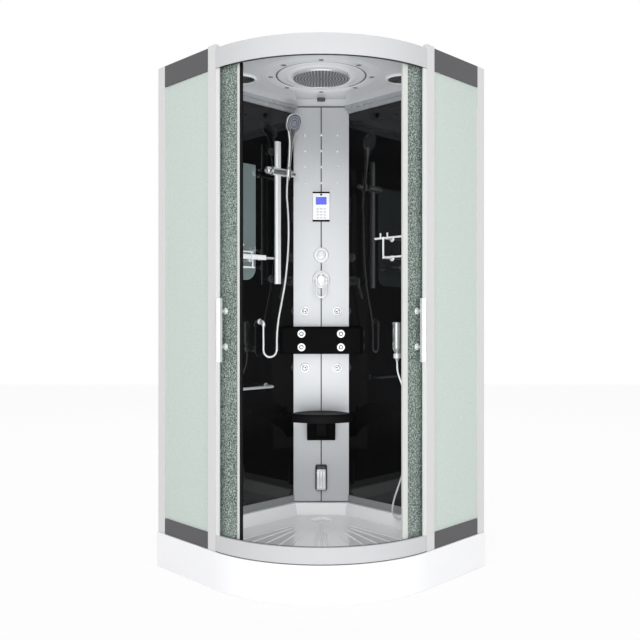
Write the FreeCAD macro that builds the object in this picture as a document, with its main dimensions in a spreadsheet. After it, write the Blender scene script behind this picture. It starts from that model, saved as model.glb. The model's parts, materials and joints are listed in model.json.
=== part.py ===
import FreeCAD, Part
import math
import os
import re

import Sketcher
from FreeCAD import Placement, Rotation, Vector

# Quarter-round steam shower cabin for a room corner, in millimetres.
#
# +Z is up and the front faces -Y. The origin is the middle of the footprint on the floor, and the
# corner of the room is on the Y axis behind it. Places inside are given as "a" and "b": a is the
# distance from the left wall, measured along the right wall, and b is the distance from the right
# wall, measured along the left wall. A depth is measured from the room corner along the diagonal.
# The front is an arc about the axis a = b = arc_centre, and an angle there is counted from the
# diagonal. Left-hand pieces that mirror right-hand ones are made by reflection in X = 0.

os.makedirs("parts", exist_ok=True)
doc = FreeCAD.newDocument("steam_shower_cabin")

SIZES = {
    # Plan of the cabin.
    "tray_side": 1000,
    "frame_side": 993,
    "arc_centre": 393,
    "wall_face": 20,
    "wall_gap": 8,
    # Tray.
    "tray_height": 150,
    "skirt_gap": 3,
    "skirt_wall": 6,
    "basin_floor": 95,
    "basin_wall": 8,
    "basin_rim_wall": 45,
    "basin_rim_side": 85,
    "basin_corner_cut": 270,
    "basin_slope": 20,
    "drain_depth": 300,
    "drain_hole_radius": 42,
    "drain_cover_radius": 49,
    "drain_cover_height": 6,
    "drain_plug_radius": 40,
    "trap_radius": 46,
    "trap_height": 60,
    "spigot_radius": 20,
    "spigot_length": 60,
    "spigot_drop": 36,
    "collar_radius": 23,
    "collar_out": 4,
    # Carrying bars and feet under the tray.
    "bar_size": 30,
    "bar_back_depth": 150,
    "bar_back_half": 95,
    "bar_middle_depth": 640,
    "bar_middle_half": 560,
    "bar_front_depth": 1000,
    "bar_front_half": 350,
    "foot_inset": 30,
    "foot_rod_radius": 6,
    "foot_pad_radius": 25,
    "foot_pad_height": 8,
    "foot_nut_radius": 12,
    "foot_nut_height": 10,
    # Walls, roof and frame.
    "panel_thick": 6,
    "panel_short": 27,
    "sill_height": 35,
    "sill_depth": 18,
    "cornice_low_drop": 37,
    "cornice_step_drop": 18,
    "ceiling_z": 2130,
    "cornice_low_depth": 30,
    "cornice_step_depth": 48,
    "roof_thick": 8,
    "roof_clearance": 1,
    "side_rise": 13.5,
    "post_rise": 20,
    "wall_profile_width": 50,
    "wall_profile_depth": 35,
    "side_rail_depth": 20,
    "side_rail_low": 65,
    "side_rail_high": 88.5,
    "side_glass_thick": 6,
    "side_glass_inset": 7,
    "post_start": 354,
    "post_end": 404,
    "jamb_width": 20,
    "jamb_thick": 7,
    "jamb_inset": 1.5,
    # Curved rails and their tracks.
    "fascia_thick": 12,
    "rail_plate": 20,
    "rail_low": 65,
    "rail_high": 80,
    "rail_rise": 2.5,
    "track_thick": 4,
    "track_setback": 30,
    "track_lip": 12,
    "track_plate": 8,
    "track_base": 6,
    "top_track_half_angle": 78.5,
    "low_track_half_angle": 62,
    "top_lip_drop": 41,
    "low_lip_rise": 46,
    # Sliding doors.
    "door_radius": 575,
    "door_thick": 6,
    "door_edge_angle": 33,
    "door_angle": 45,
    "door_foot_rise": 30,
    "door_head_drop": 18,
    "wide_seal_angle": 2.5,
    "slim_seal_angle": 1.1,
    "seal_thick": 9,
    "magnet_angle": 1.2,
    "grip_angle": 7.6,
    "tail_angle": 38.5,
    "low_tail_angle": 22,
    "roller_radius": 12,
    "roller_width": 6,
    "roller_gap": 1,
    "roller_lift": 0.3,
    "axle_radius": 3,
    "axle_clearance": 0.05,
    "boss_radius": 10,
    "handle_width": 22,
    "handle_thick": 12,
    "handle_standoff": 32,
    "handle_foot_z": 898,
    "handle_length": 250,
    "stud_radius": 7,
    "stud_low": 59,
    "stud_spacing": 140,
    "knob_radius": 12,
    "knob_height": 12,
    # Column.
    "column_face": 167,
    "column_wall": 4,
    "column_return": 90,
    "column_seam": 5,
    "spine_half": 12,
    "jet_micro_radius": 6.5,
    "jet_micro_height": 3,
    "jet_column_pitch": 81,
    "jet_top_drop": 144,
    "jet_row_pitch": 80,
    "jet_body_radius": 24,
    "jet_body_height": 12,
    "jet_body_high_z": 1105,
    "jet_body_low_z": 821,
    "steam_width": 59,
    "steam_height": 128,
    "steam_depth": 30,
    "steam_foot_z": 211,
    "steam_slot_height": 14,
    "steam_slot_depth": 18,
    "steam_slot_lip": 4,
    "generator_width": 110,
    "generator_depth": 64,
    "generator_height": 240,
    "generator_foot_z": 420,
    "steam_pipe_radius": 8,
    # Controls.
    "panel_width": 86,
    "panel_height": 148,
    "panel_depth": 12,
    "panel_foot_z": 1553,
    "panel_round": 8,
    "screen_width": 52,
    "screen_height": 40,
    "screen_foot": 81,
    "screen_rise": 1,
    "key_width": 13,
    "key_height": 7,
    "key_rise": 1.2,
    "key_pitch_x": 18,
    "key_pitch_z": 15,
    "key_foot": 14,
    "diverter_z": 1385,
    "diverter_plate_radius": 38.5,
    "plate_height": 8,
    "diverter_radius": 22.5,
    "diverter_length": 30,
    "grip_height": 3,
    "mixer_z": 1263,
    "mixer_plate_radius": 44,
    "mixer_radius": 24,
    "mixer_length": 30,
    "control_gap": 0.3,
    "cap_radius": 20,
    "cap_length": 24,
    "lever_half_width": 25,
    "lever_wire": 4.5,
    "lever_drop": 98,
    "lever_lean": 14,
    "lever_pin_radius": 4,
    "lever_pin_out": 12,
    # Backrest and folding seat.
    "rest_foot_z": 893,
    "rest_height": 135,
    "rest_face": 240,
    "rest_gap": 1,
    "rest_blunt": 6,
    "rest_round": 5,
    "rest_jet_radius": 19.5,
    "rest_jet_height": 6,
    "rest_jet_x": 97,
    "rest_jet_low": 34,
    "rest_jet_pitch": 66,
    "seat_top_z": 616,
    "seat_thick": 41,
    "seat_back": 232,
    "seat_middle": 362,
    "seat_front": 423,
    "seat_half_width": 148,
    "seat_end_radius": 25,
    "hinge_depth": 218,
    "hinge_radius": 11,
    "hinge_pin_radius": 5,
    "hinge_pin_clearance": 0.05,
    "hinge_lug_x": 20,
    "hinge_lug_width": 28,
    "hinge_ear_width": 10,
    "hinge_side_gap": 0.5,
    "hinge_web": 15,
    "bracket_width": 140,
    "bracket_foot_z": 464,
    "bracket_body": 243,
    "bracket_arm": 335,
    "bracket_arm_height": 14,
    "bracket_arm_width": 45,
    # Ceiling fittings.
    "rain_depth": 642,
    "rain_radius": 126,
    "rain_height": 14,
    "lamp_ring_radius": 222,
    "lamp_radius": 15,
    "lamp_height": 4,
    "sensor_depth": 319,
    "sensor_half": 11,
    "sensor_radius": 9,
    "sensor_height": 18,
    "fan_x": 352,
    "fan_depth": 612,
    "fan_bezel_radius": 68,
    "fan_bezel_height": 8,
    "fan_mouth_radius": 56,
    "fan_hub_radius": 18,
    "fan_blade_length": 30,
    "fan_blade_width": 17,
    "fan_blade_thick": 2,
    "fan_blade_root": 6,
    "fan_blade_tilt": 25,
    "fan_rotor_height": 9,
    "fan_rotor_rise": 6.5,
    "fan_pin_radius": 3,
    "fan_spoke_width": 5,
    "fan_cage_height": 19,
    "fan_cage_wall": 3,
    # Left wall.
    "rail_stand": 69,
    "slide_b": 366,
    "slide_foot_z": 1234,
    "slide_top_z": 1920,
    "slide_width": 34,
    "slide_thick": 22,
    "slide_bracket_radius": 11,
    "slide_plate_radius": 20,
    "slide_plate_height": 6,
    "slide_bracket_low_z": 1261,
    "slide_bracket_high_z": 1879,
    "slider_z": 1775,
    "slider_left": 405,
    "slider_right": 326,
    "slider_radius": 21,
    "slider_clearance": 0.08,
    "slider_knob_radius": 20,
    "slider_stem_radius": 10,
    "holder_b": 298,
    "holder_end": 257,
    "holder_radius": 12,
    "holder_cup_radius": 20,
    "holder_cup_height": 34,
    "holder_pin_radius": 6,
    "holder_pin_length": 14,
    "holder_gap": 0.3,
    "handset_lean": 8,
    "handset_nut_radius": 12,
    "handset_fit": 0.2,
    "handset_drop": 30,
    "handset_waist": 9,
    "handset_swell": 2,
    "handset_head_radius": 48.5,
    "handset_head_thick": 20,
    "handset_head_up": 246,
    "handset_head_out": 8,
    "handset_head_tilt": 70,
    "hose_radius": 5,
    "elbow_b": 438.5,
    "elbow_stand": 47.5,
    "elbow_z": 1053,
    "elbow_radius": 8,
    "elbow_plate_radius": 14,
    "elbow_plate_height": 6,
    "elbow_drop": 25,
    "mirror_near": 467,
    "mirror_far": 767,
    "mirror_foot_z": 1250,
    "mirror_top_z": 1800,
    "mirror_thick": 5,
    "mirror_round": 60,
    "shelf_near": 455,
    "shelf_reach": 140,
    "shelf_z": 1346,
    "shelf_thick": 6,
    "shelf_band_near": 505,
    "shelf_band_height": 22,
    "shelf_band_thick": 5,
    "gallery_rise": 26,
    "gallery_near": 575,
    "gallery_high_rise": 55,
    "gallery_high_near": 630,
    "underbar_drop": 44,
    "underbar_near": 567,
    "gallery_radius": 4,
    "gallery_post_radius": 3,
    "grab_z": 743,
    "grab_near": 393,
    "grab_far": 780,
    "grab_radius": 7,
    "grab_stand": 80,
    # Right wall.
    "towel_near": 497,
    "towel_far": 790,
    "towel_stand": 85,
    "towel_high_z": 1445,
    "towel_low_z": 1354,
    "towel_radius": 5,
    "towel_step": 1,
    "towel_plate_radius": 14,
    "towel_plate_height": 6,
    "towel_stub": 48,
    "towel_peg_left": 480,
    "towel_peg_right": 522,
    "towel_peg_height": 24,
    "spray_a": 565,
    "spray_b": 66,
    "spray_foot_z": 870,
    "spray_height": 181,
    "spray_radius": 12,
    "spray_foot_radius": 8,
    "spray_head_radius": 22,
    "spray_head_length": 142,
    "spray_rest_z": 884,
    "spray_rest_width": 34,
    "spray_rest_height": 22,
    "spray_fit": 0.2,
    "spray_hose_radius": 4.5,
    "outlet_a": 684,
    "outlet_z": 610,
}

sheet = doc.addObject("Spreadsheet::Sheet", "size")
for row, (alias, amount) in enumerate(SIZES.items(), start=1):
    sheet.set(f"A{row}", alias)
    sheet.set(f"B{row}", str(amount))
    sheet.setAlias(f"B{row}", alias)
doc.recompute()

# Sizes that follow from the driving ones.
DERIVED = {
    "frame_radius": "frame_side - arc_centre",
    "tray_radius": "tray_side - arc_centre",
    "corner_y": "(arc_centre * sqrt(2) + tray_side - arc_centre) / 2",
    "arc_y": "corner_y - arc_centre * sqrt(2)",
    "wall_profile_face": "frame_side - wall_profile_depth",
    "side_rail_face": "frame_side - side_rail_depth",
    "cornice_low_z": "ceiling_z - cornice_low_drop",
    "cornice_step_z": "ceiling_z - cornice_step_drop",
    "side_top_z": "ceiling_z + side_rise",
    "post_top_z": "ceiling_z + post_rise",
    "rail_top_z": "ceiling_z + rail_rise",
    "jet_top_z": "ceiling_z - jet_top_drop",
    "fan_rotor_z": "ceiling_z + fan_rotor_rise",
    "gallery_z": "shelf_z + gallery_rise",
    "gallery_high_z": "shelf_z + gallery_high_rise",
    "underbar_z": "shelf_z - underbar_drop",
    "track_inner_radius": "door_radius - track_setback",
    "top_lip_z": "ceiling_z - top_lip_drop",
    "low_lip_z": "tray_height + low_lip_rise",
    "door_foot_z": "tray_height + door_foot_rise",
    "door_head_z": "ceiling_z - door_head_drop",
    "plate_radius": "frame_radius - rail_plate",
    "fascia_radius": "frame_radius - fascia_thick",
    "rail_half_angle": "45 - asin((post_end - arc_centre) / plate_radius) / 1 deg",
    "door_inner": "door_radius - door_thick / 2",
    "door_outer": "door_radius + door_thick / 2",
    "column_half": "column_face - wall_face * sqrt(2)",
    "column_a": "(column_face + column_half) / sqrt(2)",
    "panel_start": "column_a - column_return + panel_short",
    "bar_top": "basin_floor - basin_wall",
    "hinge_z": "seat_top_z - seat_thick / 2",
    "roller_near": "track_inner_radius + track_thick + roller_gap",
    "boss_near": "roller_near + roller_width + control_gap",
    "wheel_hub": "axle_radius + axle_clearance",
    "top_axle_z": "top_lip_z + roller_radius + roller_lift",
    "low_axle_z": "low_lip_z + roller_radius + roller_lift",
    "handle_place": "door_outer + handle_standoff",
    "seat_end_x": "seat_half_width - seat_end_radius",
    "rear_reach": "seat_middle - seat_back",
    "rear_radius": "(rear_reach^2 + seat_end_x^2 - seat_end_radius^2) / (2 * (rear_reach - seat_end_radius))",
    "rear_sag": "rear_radius - sqrt(rear_radius^2 - (hinge_lug_x + hinge_lug_width)^2)",
    "fore_reach": "seat_front - seat_middle",
    "fore_radius": "(fore_reach^2 + seat_end_x^2 - seat_end_radius^2) / (2 * (fore_reach - seat_end_radius))",
}

plan = doc.addObject("App::VarSet", "plan")


def formula(text):
    """Point the size words in a formula at the sheet and at the derived sizes."""
    def owner(match):
        word = match.group(0)
        if word in SIZES:
            return "size." + word
        return "plan." + word if word in DERIVED else word

    return re.sub(r"[a-z]+(?:_[a-z]+)+", owner, str(text))


for word, text in DERIVED.items():
    plan.addProperty("App::PropertyFloat", word, "Plan")
    plan.setExpression(word, formula(text))
doc.recompute()


def number(text):
    """The present value of a formula."""
    return float(plan.evalExpression(formula(text)))


# Numbers of pieces in the rings.
LAMP_COUNT = 8
BLADE_COUNT = 5

# Directions in which pieces are turned before they are placed.
SQUARE = Rotation()
RIGHT_WALL = Rotation(Vector(0, 0, 1), -45)
LEFT_WALL = Rotation(Vector(0, 0, 1), 45)
CORNER = Rotation(Vector(0, 0, 1), 225)
FORWARD = Rotation(Vector(0, 0, 1), -90)
OUTWARD = Rotation(Vector(1, 0, 0), 90)
ALONG = Rotation(Vector(0, 1, 0), 90)

nodes = []


def node(name, piece):
    """Name a finished sub-part."""
    piece.Label = name
    nodes.append(piece)
    return piece


def bind(piece, **sizes):
    for size_name, text in sizes.items():
        piece.setExpression(size_name, formula(text))
    return piece


def put(piece, x, y, z, rotation=SQUARE):
    piece.Placement = Placement(Vector(), rotation)
    for axis, text in zip("xyz", (x, y, z)):
        piece.setExpression("Placement.Base." + axis, formula(text))
    return piece


def at_depth(piece, x, depth, z, rotation=SQUARE):
    """Place by X and by depth from the room corner along the diagonal."""
    return put(piece, x, f"corner_y - ({depth})", z, rotation)


def at_wall(piece, a, b, z, rotation=SQUARE):
    """Place by the distances a and b from the left and right walls."""
    return put(piece, f"(({a}) - ({b})) / sqrt(2)", f"corner_y - (({a}) + ({b})) / sqrt(2)", z, rotation)


def at_angle(piece, radius, angle, z, rotation=SQUARE):
    """Place on a circle about the axis of the front arc."""
    return put(piece, f"({radius}) * sin({angle})", f"arc_y - ({radius}) * cos({angle})", z, rotation)


def radial(angle):
    """A turn that points a cylinder outwards from the axis of the front arc."""
    return Rotation(Vector(0, 0, 1), angle) * OUTWARD


def box(length, width, height):
    return bind(doc.addObject("Part::Box", "box"), Length=length, Width=width, Height=height)


def rod(radius, height):
    return bind(doc.addObject("Part::Cylinder", "rod"), Radius=radius, Height=height)


def ball(radius):
    return bind(doc.addObject("Part::Sphere", "ball"), Radius=radius)


def fuse(*pieces):
    joined = doc.addObject("Part::MultiFuse", "fuse")
    joined.Shapes = list(pieces)
    return joined


def cut(base, *tools):
    for tool in tools:
        rest = doc.addObject("Part::Cut", "cut")
        rest.Base = base
        rest.Tool = tool
        base = rest
    return base


def group(*pieces):
    """Several separate solids that are one sub-part."""
    together = doc.addObject("Part::Compound", "group")
    together.Links = list(pieces)
    return together


def mirror(piece):
    other = doc.addObject("Part::Mirroring", "mirror")
    other.Source = piece
    other.Base = Vector()
    other.Normal = Vector(1, 0, 0)
    return other


def turned(piece, x, depth, z, angle, along="0", beside="0", tilt=0):
    """Place a box turned in plan about its own point (along, beside), which sits at the given place."""
    base_x = f"{x} - ({along}) * cos({angle}) + ({beside}) * sin({angle})"
    base_depth = f"{depth} + ({along}) * sin({angle}) + ({beside}) * cos({angle})"
    spin = Rotation(Vector(0, 0, 1), angle) * Rotation(Vector(1, 0, 0), tilt)
    return at_depth(piece, base_x, base_depth, z, spin)


def wall_box(a_from, a_to, b_from, b_to, z_from, z_to):
    """A box square to the walls, between two distances from each wall."""
    block = box(f"({a_to}) - ({a_from})", f"({b_to}) - ({b_from})", f"({z_to}) - ({z_from})")
    return at_wall(block, a_from, b_to, z_from, RIGHT_WALL)


def arc_through(start, end, centre_x):
    """The anticlockwise arc from start to end whose centre has the given X."""
    middle = (start + end) * 0.5
    chord = end - start
    centre = Vector(centre_x, middle.y - (centre_x - middle.x) * chord.x / chord.y, 0)
    from_angle = math.atan2(start.y - centre.y, start.x - centre.x)
    to_angle = math.atan2(end.y - centre.y, end.x - centre.x)
    if to_angle < from_angle:
        to_angle += 2 * math.pi
    circle = Part.Circle(centre, Vector(0, 0, 1), (start - centre).Length)
    return Part.ArcOfCircle(circle, from_angle, to_angle)


def fix(sketch, element, point, kind, text):
    """Tie one coordinate of a point of the sketch to a formula."""
    if text == "0":
        axis = -2 if kind == "DistanceX" else -1
        sketch.addConstraint(Sketcher.Constraint("PointOnObject", element, point, axis))
        return
    index = sketch.addConstraint(Sketcher.Constraint(kind, -1, 1, element, point, number(text)))
    sketch.setExpression(f"Constraints[{index}]", formula(text))


def draw(body, role, outlines, height=None):
    """A sketch on an origin plane of the body.

    An outline is a circle (x, y, radius) or a list of corners, taken anticlockwise: (x, y) ends a
    straight side, and (x, y, centre_x) ends an arc whose centre has that X.
    """
    sketch = body.newObject("Sketcher::SketchObject", "sketch")
    plane = next(item for item in body.Origin.OriginFeatures if item.Role == role)
    sketch.AttachmentSupport = [(plane, "")]
    sketch.MapMode = "FlatFace"
    if height:
        sketch.setExpression("AttachmentOffset.Base.z", formula(height))
    for outline in outlines:
        if isinstance(outline, tuple):
            x, y, radius = outline
            circle = Part.Circle(Vector(number(x), number(y), 0), Vector(0, 0, 1), number(radius))
            element = sketch.addGeometry(circle, False)
            fix(sketch, element, 3, "DistanceX", x)
            fix(sketch, element, 3, "DistanceY", y)
            index = sketch.addConstraint(Sketcher.Constraint("Radius", element, number(radius)))
            sketch.setExpression(f"Constraints[{index}]", formula(radius))
            continue
        points = [Vector(number(corner[0]), number(corner[1]), 0) for corner in outline]
        elements = []
        for place, corner in enumerate(outline):
            start, end = points[place - 1], points[place]
            if len(corner) == 3:
                side = arc_through(start, end, number(corner[2]))
            else:
                side = Part.LineSegment(start, end)
            elements.append(sketch.addGeometry(side, False))
        for place, corner in enumerate(outline):
            element = elements[place]
            following = elements[(place + 1) % len(elements)]
            sketch.addConstraint(Sketcher.Constraint("Coincident", element, 2, following, 1))
            fix(sketch, element, 2, "DistanceX", corner[0])
            fix(sketch, element, 2, "DistanceY", corner[1])
            if len(corner) == 3:
                fix(sketch, element, 3, "DistanceX", corner[2])
    return sketch


def new_body(name):
    return doc.addObject("PartDesign::Body", name)


def pad(body, role, outlines, length, height=None, both_ways=False):
    """Add a pad of the outlines to the body."""
    feature_sketch = draw(body, role, outlines, height)
    feature = body.newObject("PartDesign::Pad", "pad")
    feature.Profile = feature_sketch
    feature.setExpression("Length", formula(length))
    feature.Midplane = both_ways
    body.Tip = feature
    doc.recompute()
    return feature


def pocket(body, role, outlines, depth, height=None, upwards=False, taper=None):
    """Cut a pocket of the outlines out of the body, and make sure that it takes something away."""
    before = body.Shape.Volume
    feature_sketch = draw(body, role, outlines, height)
    feature = body.newObject("PartDesign::Pocket", "pocket")
    feature.Profile = feature_sketch
    feature.setExpression("Length", formula(depth))
    feature.Reversed = upwards
    if taper:
        feature.setExpression("TaperAngle", formula(taper))
    body.Tip = feature
    doc.recompute()
    if not body.Shape.Volume < before:
        raise ValueError(f"{body.Label}: the pocket removes nothing")
    return feature


def revolve(body, outlines, angle):
    """Add a turned form about the body's Z axis, half the angle to each side of its X axis."""
    feature_sketch = draw(body, "XZ_Plane", outlines)
    feature = body.newObject("PartDesign::Revolution", "revolution")
    feature.Profile = feature_sketch
    feature.ReferenceAxis = (feature_sketch, ["V_Axis"])
    feature.setExpression("Angle", formula(angle))
    feature.Midplane = True
    body.Tip = feature
    doc.recompute()
    return feature


def rectangle(x_from, x_to, y_from, y_to):
    return [(x_from, y_from), (x_to, y_from), (x_to, y_to), (x_from, y_to)]


def rounded(x_from, x_to, y_from, y_to, radius):
    """A rectangle with round corners."""
    left, right = f"({x_from}) + ({radius})", f"({x_to}) - ({radius})"
    low, high = f"({y_from}) + ({radius})", f"({y_to}) - ({radius})"
    return [
        (right, y_from), (x_to, low, right), (x_to, high), (right, y_to, right),
        (left, y_to), (x_from, high, left), (x_from, low), (left, y_from, left),
    ]


def stadium(half, radius):
    """A long hole or bar: two half circles joined by straight sides."""
    return [(half, f"-({radius})"), (half, radius, half),
            (f"-({half})", radius), (f"-({half})", f"-({radius})", f"-({half})")]


def ring(name, outlines, from_angle, to_angle):
    """A piece bent about the axis of the front arc, between two angles from the diagonal."""
    body = new_body(name)
    revolve(body, outlines, f"({to_angle}) - ({from_angle})")
    turn = formula(f"-90 + (({to_angle}) + ({from_angle})) / 2")
    spot = formula("vector(0; arc_y; 0)")
    body.setExpression("Placement", f"placement({spot}; rotation(vector(0; 0; 1); {turn}))")
    return body


def quadrant(wall_edge, side_edge):
    """The plan of the cabin, in from its walls and from its open sides."""
    return [
        (wall_edge, wall_edge), (side_edge, wall_edge), (side_edge, "arc_centre"),
        ("arc_centre", side_edge, "arc_centre"), (wall_edge, side_edge),
    ]


def make_tray():
    body = new_body("tray_body")
    pad(body, "XY_Plane", [quadrant("0", "tray_side")], "tray_height - skirt_gap")
    side = "tray_side - basin_rim_side"
    near = "basin_rim_wall"
    basin = [
        (near, f"basin_corner_cut - {near}"), (f"basin_corner_cut - {near}", near), (side, near),
        (side, "arc_centre"), ("arc_centre", side, "arc_centre"), (near, side),
    ]
    top = "tray_height - skirt_gap"
    pocket(body, "XY_Plane", [basin], "tray_height - basin_floor", top, taper="-basin_slope")
    hollow = quadrant("-wall_gap", "tray_side - skirt_wall")
    pocket(body, "XY_Plane", [hollow], "bar_top - skirt_gap", upwards=True)
    drain = ("drain_depth / sqrt(2)", "drain_depth / sqrt(2)", "drain_hole_radius")
    pocket(body, "XY_Plane", [drain], "tray_height", upwards=True)
    node("tray", at_wall(body, "0", "0", "skirt_gap", CORNER))

    cover = at_depth(rod("drain_cover_radius", "drain_cover_height"), "0", "drain_depth", "basin_floor")
    plug = at_depth(rod("drain_plug_radius", "basin_wall"), "0", "drain_depth", "bar_top")
    node("drain_cover", fuse(cover, plug))

    cup = at_depth(rod("trap_radius", "trap_height"), "0", "drain_depth", "bar_top - trap_height")
    outlet = [rod("collar_radius", "trap_radius + collar_out"),
              rod("spigot_radius", "trap_radius + collar_out + spigot_length")]
    for piece in outlet:
        at_depth(piece, "0", "drain_depth", "bar_top - spigot_drop", ALONG)
    node("drain_trap", fuse(cup, *outlet))


def make_undercarriage():
    bars, feet = [], []
    for place in ("back", "middle", "front"):
        depth, half = f"bar_{place}_depth", f"bar_{place}_half"
        bar = box(f"2 * {half}", "bar_size", "bar_size")
        bars.append(at_depth(bar, f"-{half}", f"{depth} + bar_size / 2", "bar_top - bar_size"))
        for side in ("-", ""):
            x = f"{side}({half} - foot_inset)"
            underside = "bar_top - bar_size"
            disc = at_depth(rod("foot_pad_radius", "foot_pad_height"), x, depth, "0")
            shaft = at_depth(rod("foot_rod_radius", underside), x, depth, "0")
            nut_z = f"{underside} - foot_nut_height"
            nut = at_depth(rod("foot_nut_radius", "foot_nut_height"), x, depth, nut_z)
            feet.append(fuse(disc, shaft, nut))
    node("support_bars", group(*bars))
    node("feet", group(*feet))


def make_walls():
    back = "wall_face - panel_thick"
    sill_top = "tray_height + sill_height"
    panel = wall_box("panel_start", "wall_profile_face", back, "wall_face", sill_top, "cornice_low_z")
    node("wall_panel_right", panel)
    node("wall_panel_left", mirror(panel))
    sill_b = "wall_gap + sill_depth"
    sill = wall_box("column_a", "wall_profile_face", "wall_gap", sill_b, "tray_height", sill_top)
    post = wall_box("wall_profile_face", "frame_side", "0", "wall_profile_width", "tray_height", "side_top_z")
    node("wall_profiles", group(sill, mirror(sill), post, mirror(post)))


def make_side_panels():
    glass_outer = "frame_side - side_glass_inset"
    glass_inner = f"{glass_outer} - side_glass_thick"
    low_top = "tray_height + side_rail_low"
    high_foot = "side_top_z - side_rail_high"
    span = ("wall_profile_width", "post_start")
    glass = wall_box(glass_inner, glass_outer, *span, low_top, high_foot)
    node("side_glass", group(glass, mirror(glass)))
    low = wall_box("side_rail_face", "frame_side", *span, "tray_height", low_top)
    high = wall_box("side_rail_face", "frame_side", *span, high_foot, "side_top_z")
    node("side_rails", group(low, mirror(low), high, mirror(high)))
    post = wall_box("side_rail_face", "frame_side", "post_start", "post_end", "tray_height", "post_top_z")
    node("front_posts", group(post, mirror(post)))
    outer = "frame_side - jamb_inset"
    jamb = wall_box(f"{outer} - jamb_thick", outer, "post_end", "post_end + jamb_width",
                    "tray_height + rail_low", "rail_top_z - rail_high")
    node("door_jambs", group(jamb, mirror(jamb)))


def bent_rail(name, front, back, back_half_angle):
    """A visible fascia between the posts with a longer track behind it."""
    body = new_body(name + "_body")
    revolve(body, [front], "2 * rail_half_angle")
    revolve(body, [back], f"2 * {back_half_angle}")
    node(name, put(body, "0", "arc_y", "0", FORWARD))


def make_rails():
    inner = "track_inner_radius"
    wall = "track_inner_radius + track_thick"
    lip = "track_inner_radius + track_lip"
    plate_foot = "ceiling_z - track_plate"
    foot = "rail_top_z - rail_high"
    front = [
        ("plate_radius", plate_foot), ("fascia_radius", plate_foot), ("fascia_radius", foot),
        ("frame_radius", foot), ("frame_radius", "rail_top_z"), ("fascia_radius", "rail_top_z"),
        ("fascia_radius", "ceiling_z"), ("plate_radius", "ceiling_z"),
    ]
    lip_foot = "top_lip_z - track_thick"
    track = [
        (inner, lip_foot), (lip, lip_foot), (lip, "top_lip_z"), (wall, "top_lip_z"),
        (wall, plate_foot), ("plate_radius", plate_foot), ("plate_radius", "ceiling_z"),
        (inner, "ceiling_z"),
    ]
    bent_rail("top_rail", front, track, "top_track_half_angle")
    base = "tray_height + track_base"
    top = "tray_height + rail_low"
    front = [
        ("plate_radius", "tray_height"), ("frame_radius", "tray_height"), ("frame_radius", top),
        ("fascia_radius", top), ("fascia_radius", base), ("plate_radius", base),
    ]
    lip_foot = "low_lip_z - track_thick"
    track = [
        (inner, "tray_height"), ("plate_radius", "tray_height"), ("plate_radius", base),
        (wall, base), (wall, lip_foot), (lip, lip_foot), (lip, "low_lip_z"), (inner, "low_lip_z"),
    ]
    bent_rail("bottom_rail", front, track, "low_track_half_angle")


def make_roof():
    body = new_body("roof_body")
    near, side = "wall_gap", "side_rail_face - roof_clearance"
    # The two far corners are notched for the wall profiles, which stand higher than the roof.
    post, width = "wall_profile_face - roof_clearance", "wall_profile_width + roof_clearance"
    plate = [
        (near, near), (post, near), (post, width), (side, width), (side, "arc_centre"),
        ("arc_centre", side, "arc_centre"), (width, side), (width, post), (near, post),
    ]
    pad(body, "XY_Plane", [plate], "roof_thick", "ceiling_z")
    for depth, z_from, z_to in (("cornice_step_depth", "cornice_step_z", "ceiling_z"),
                                ("cornice_low_depth", "cornice_low_z", "cornice_step_z")):
        strips = [rectangle("column_a", "wall_profile_face", near, depth),
                  rectangle(near, depth, "column_a", "wall_profile_face")]
        pad(body, "XY_Plane", strips, f"{z_to} - {z_from}", z_from)
    fan_a, fan_b = "(fan_depth + fan_x) / sqrt(2)", "(fan_depth - fan_x) / sqrt(2)"
    mouth = (fan_b, fan_a, "fan_mouth_radius + fan_cage_wall")
    pocket(body, "XY_Plane", [mouth], "roof_thick", "ceiling_z", upwards=True)
    node("roof", at_wall(body, "0", "0", "0", CORNER))


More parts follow.
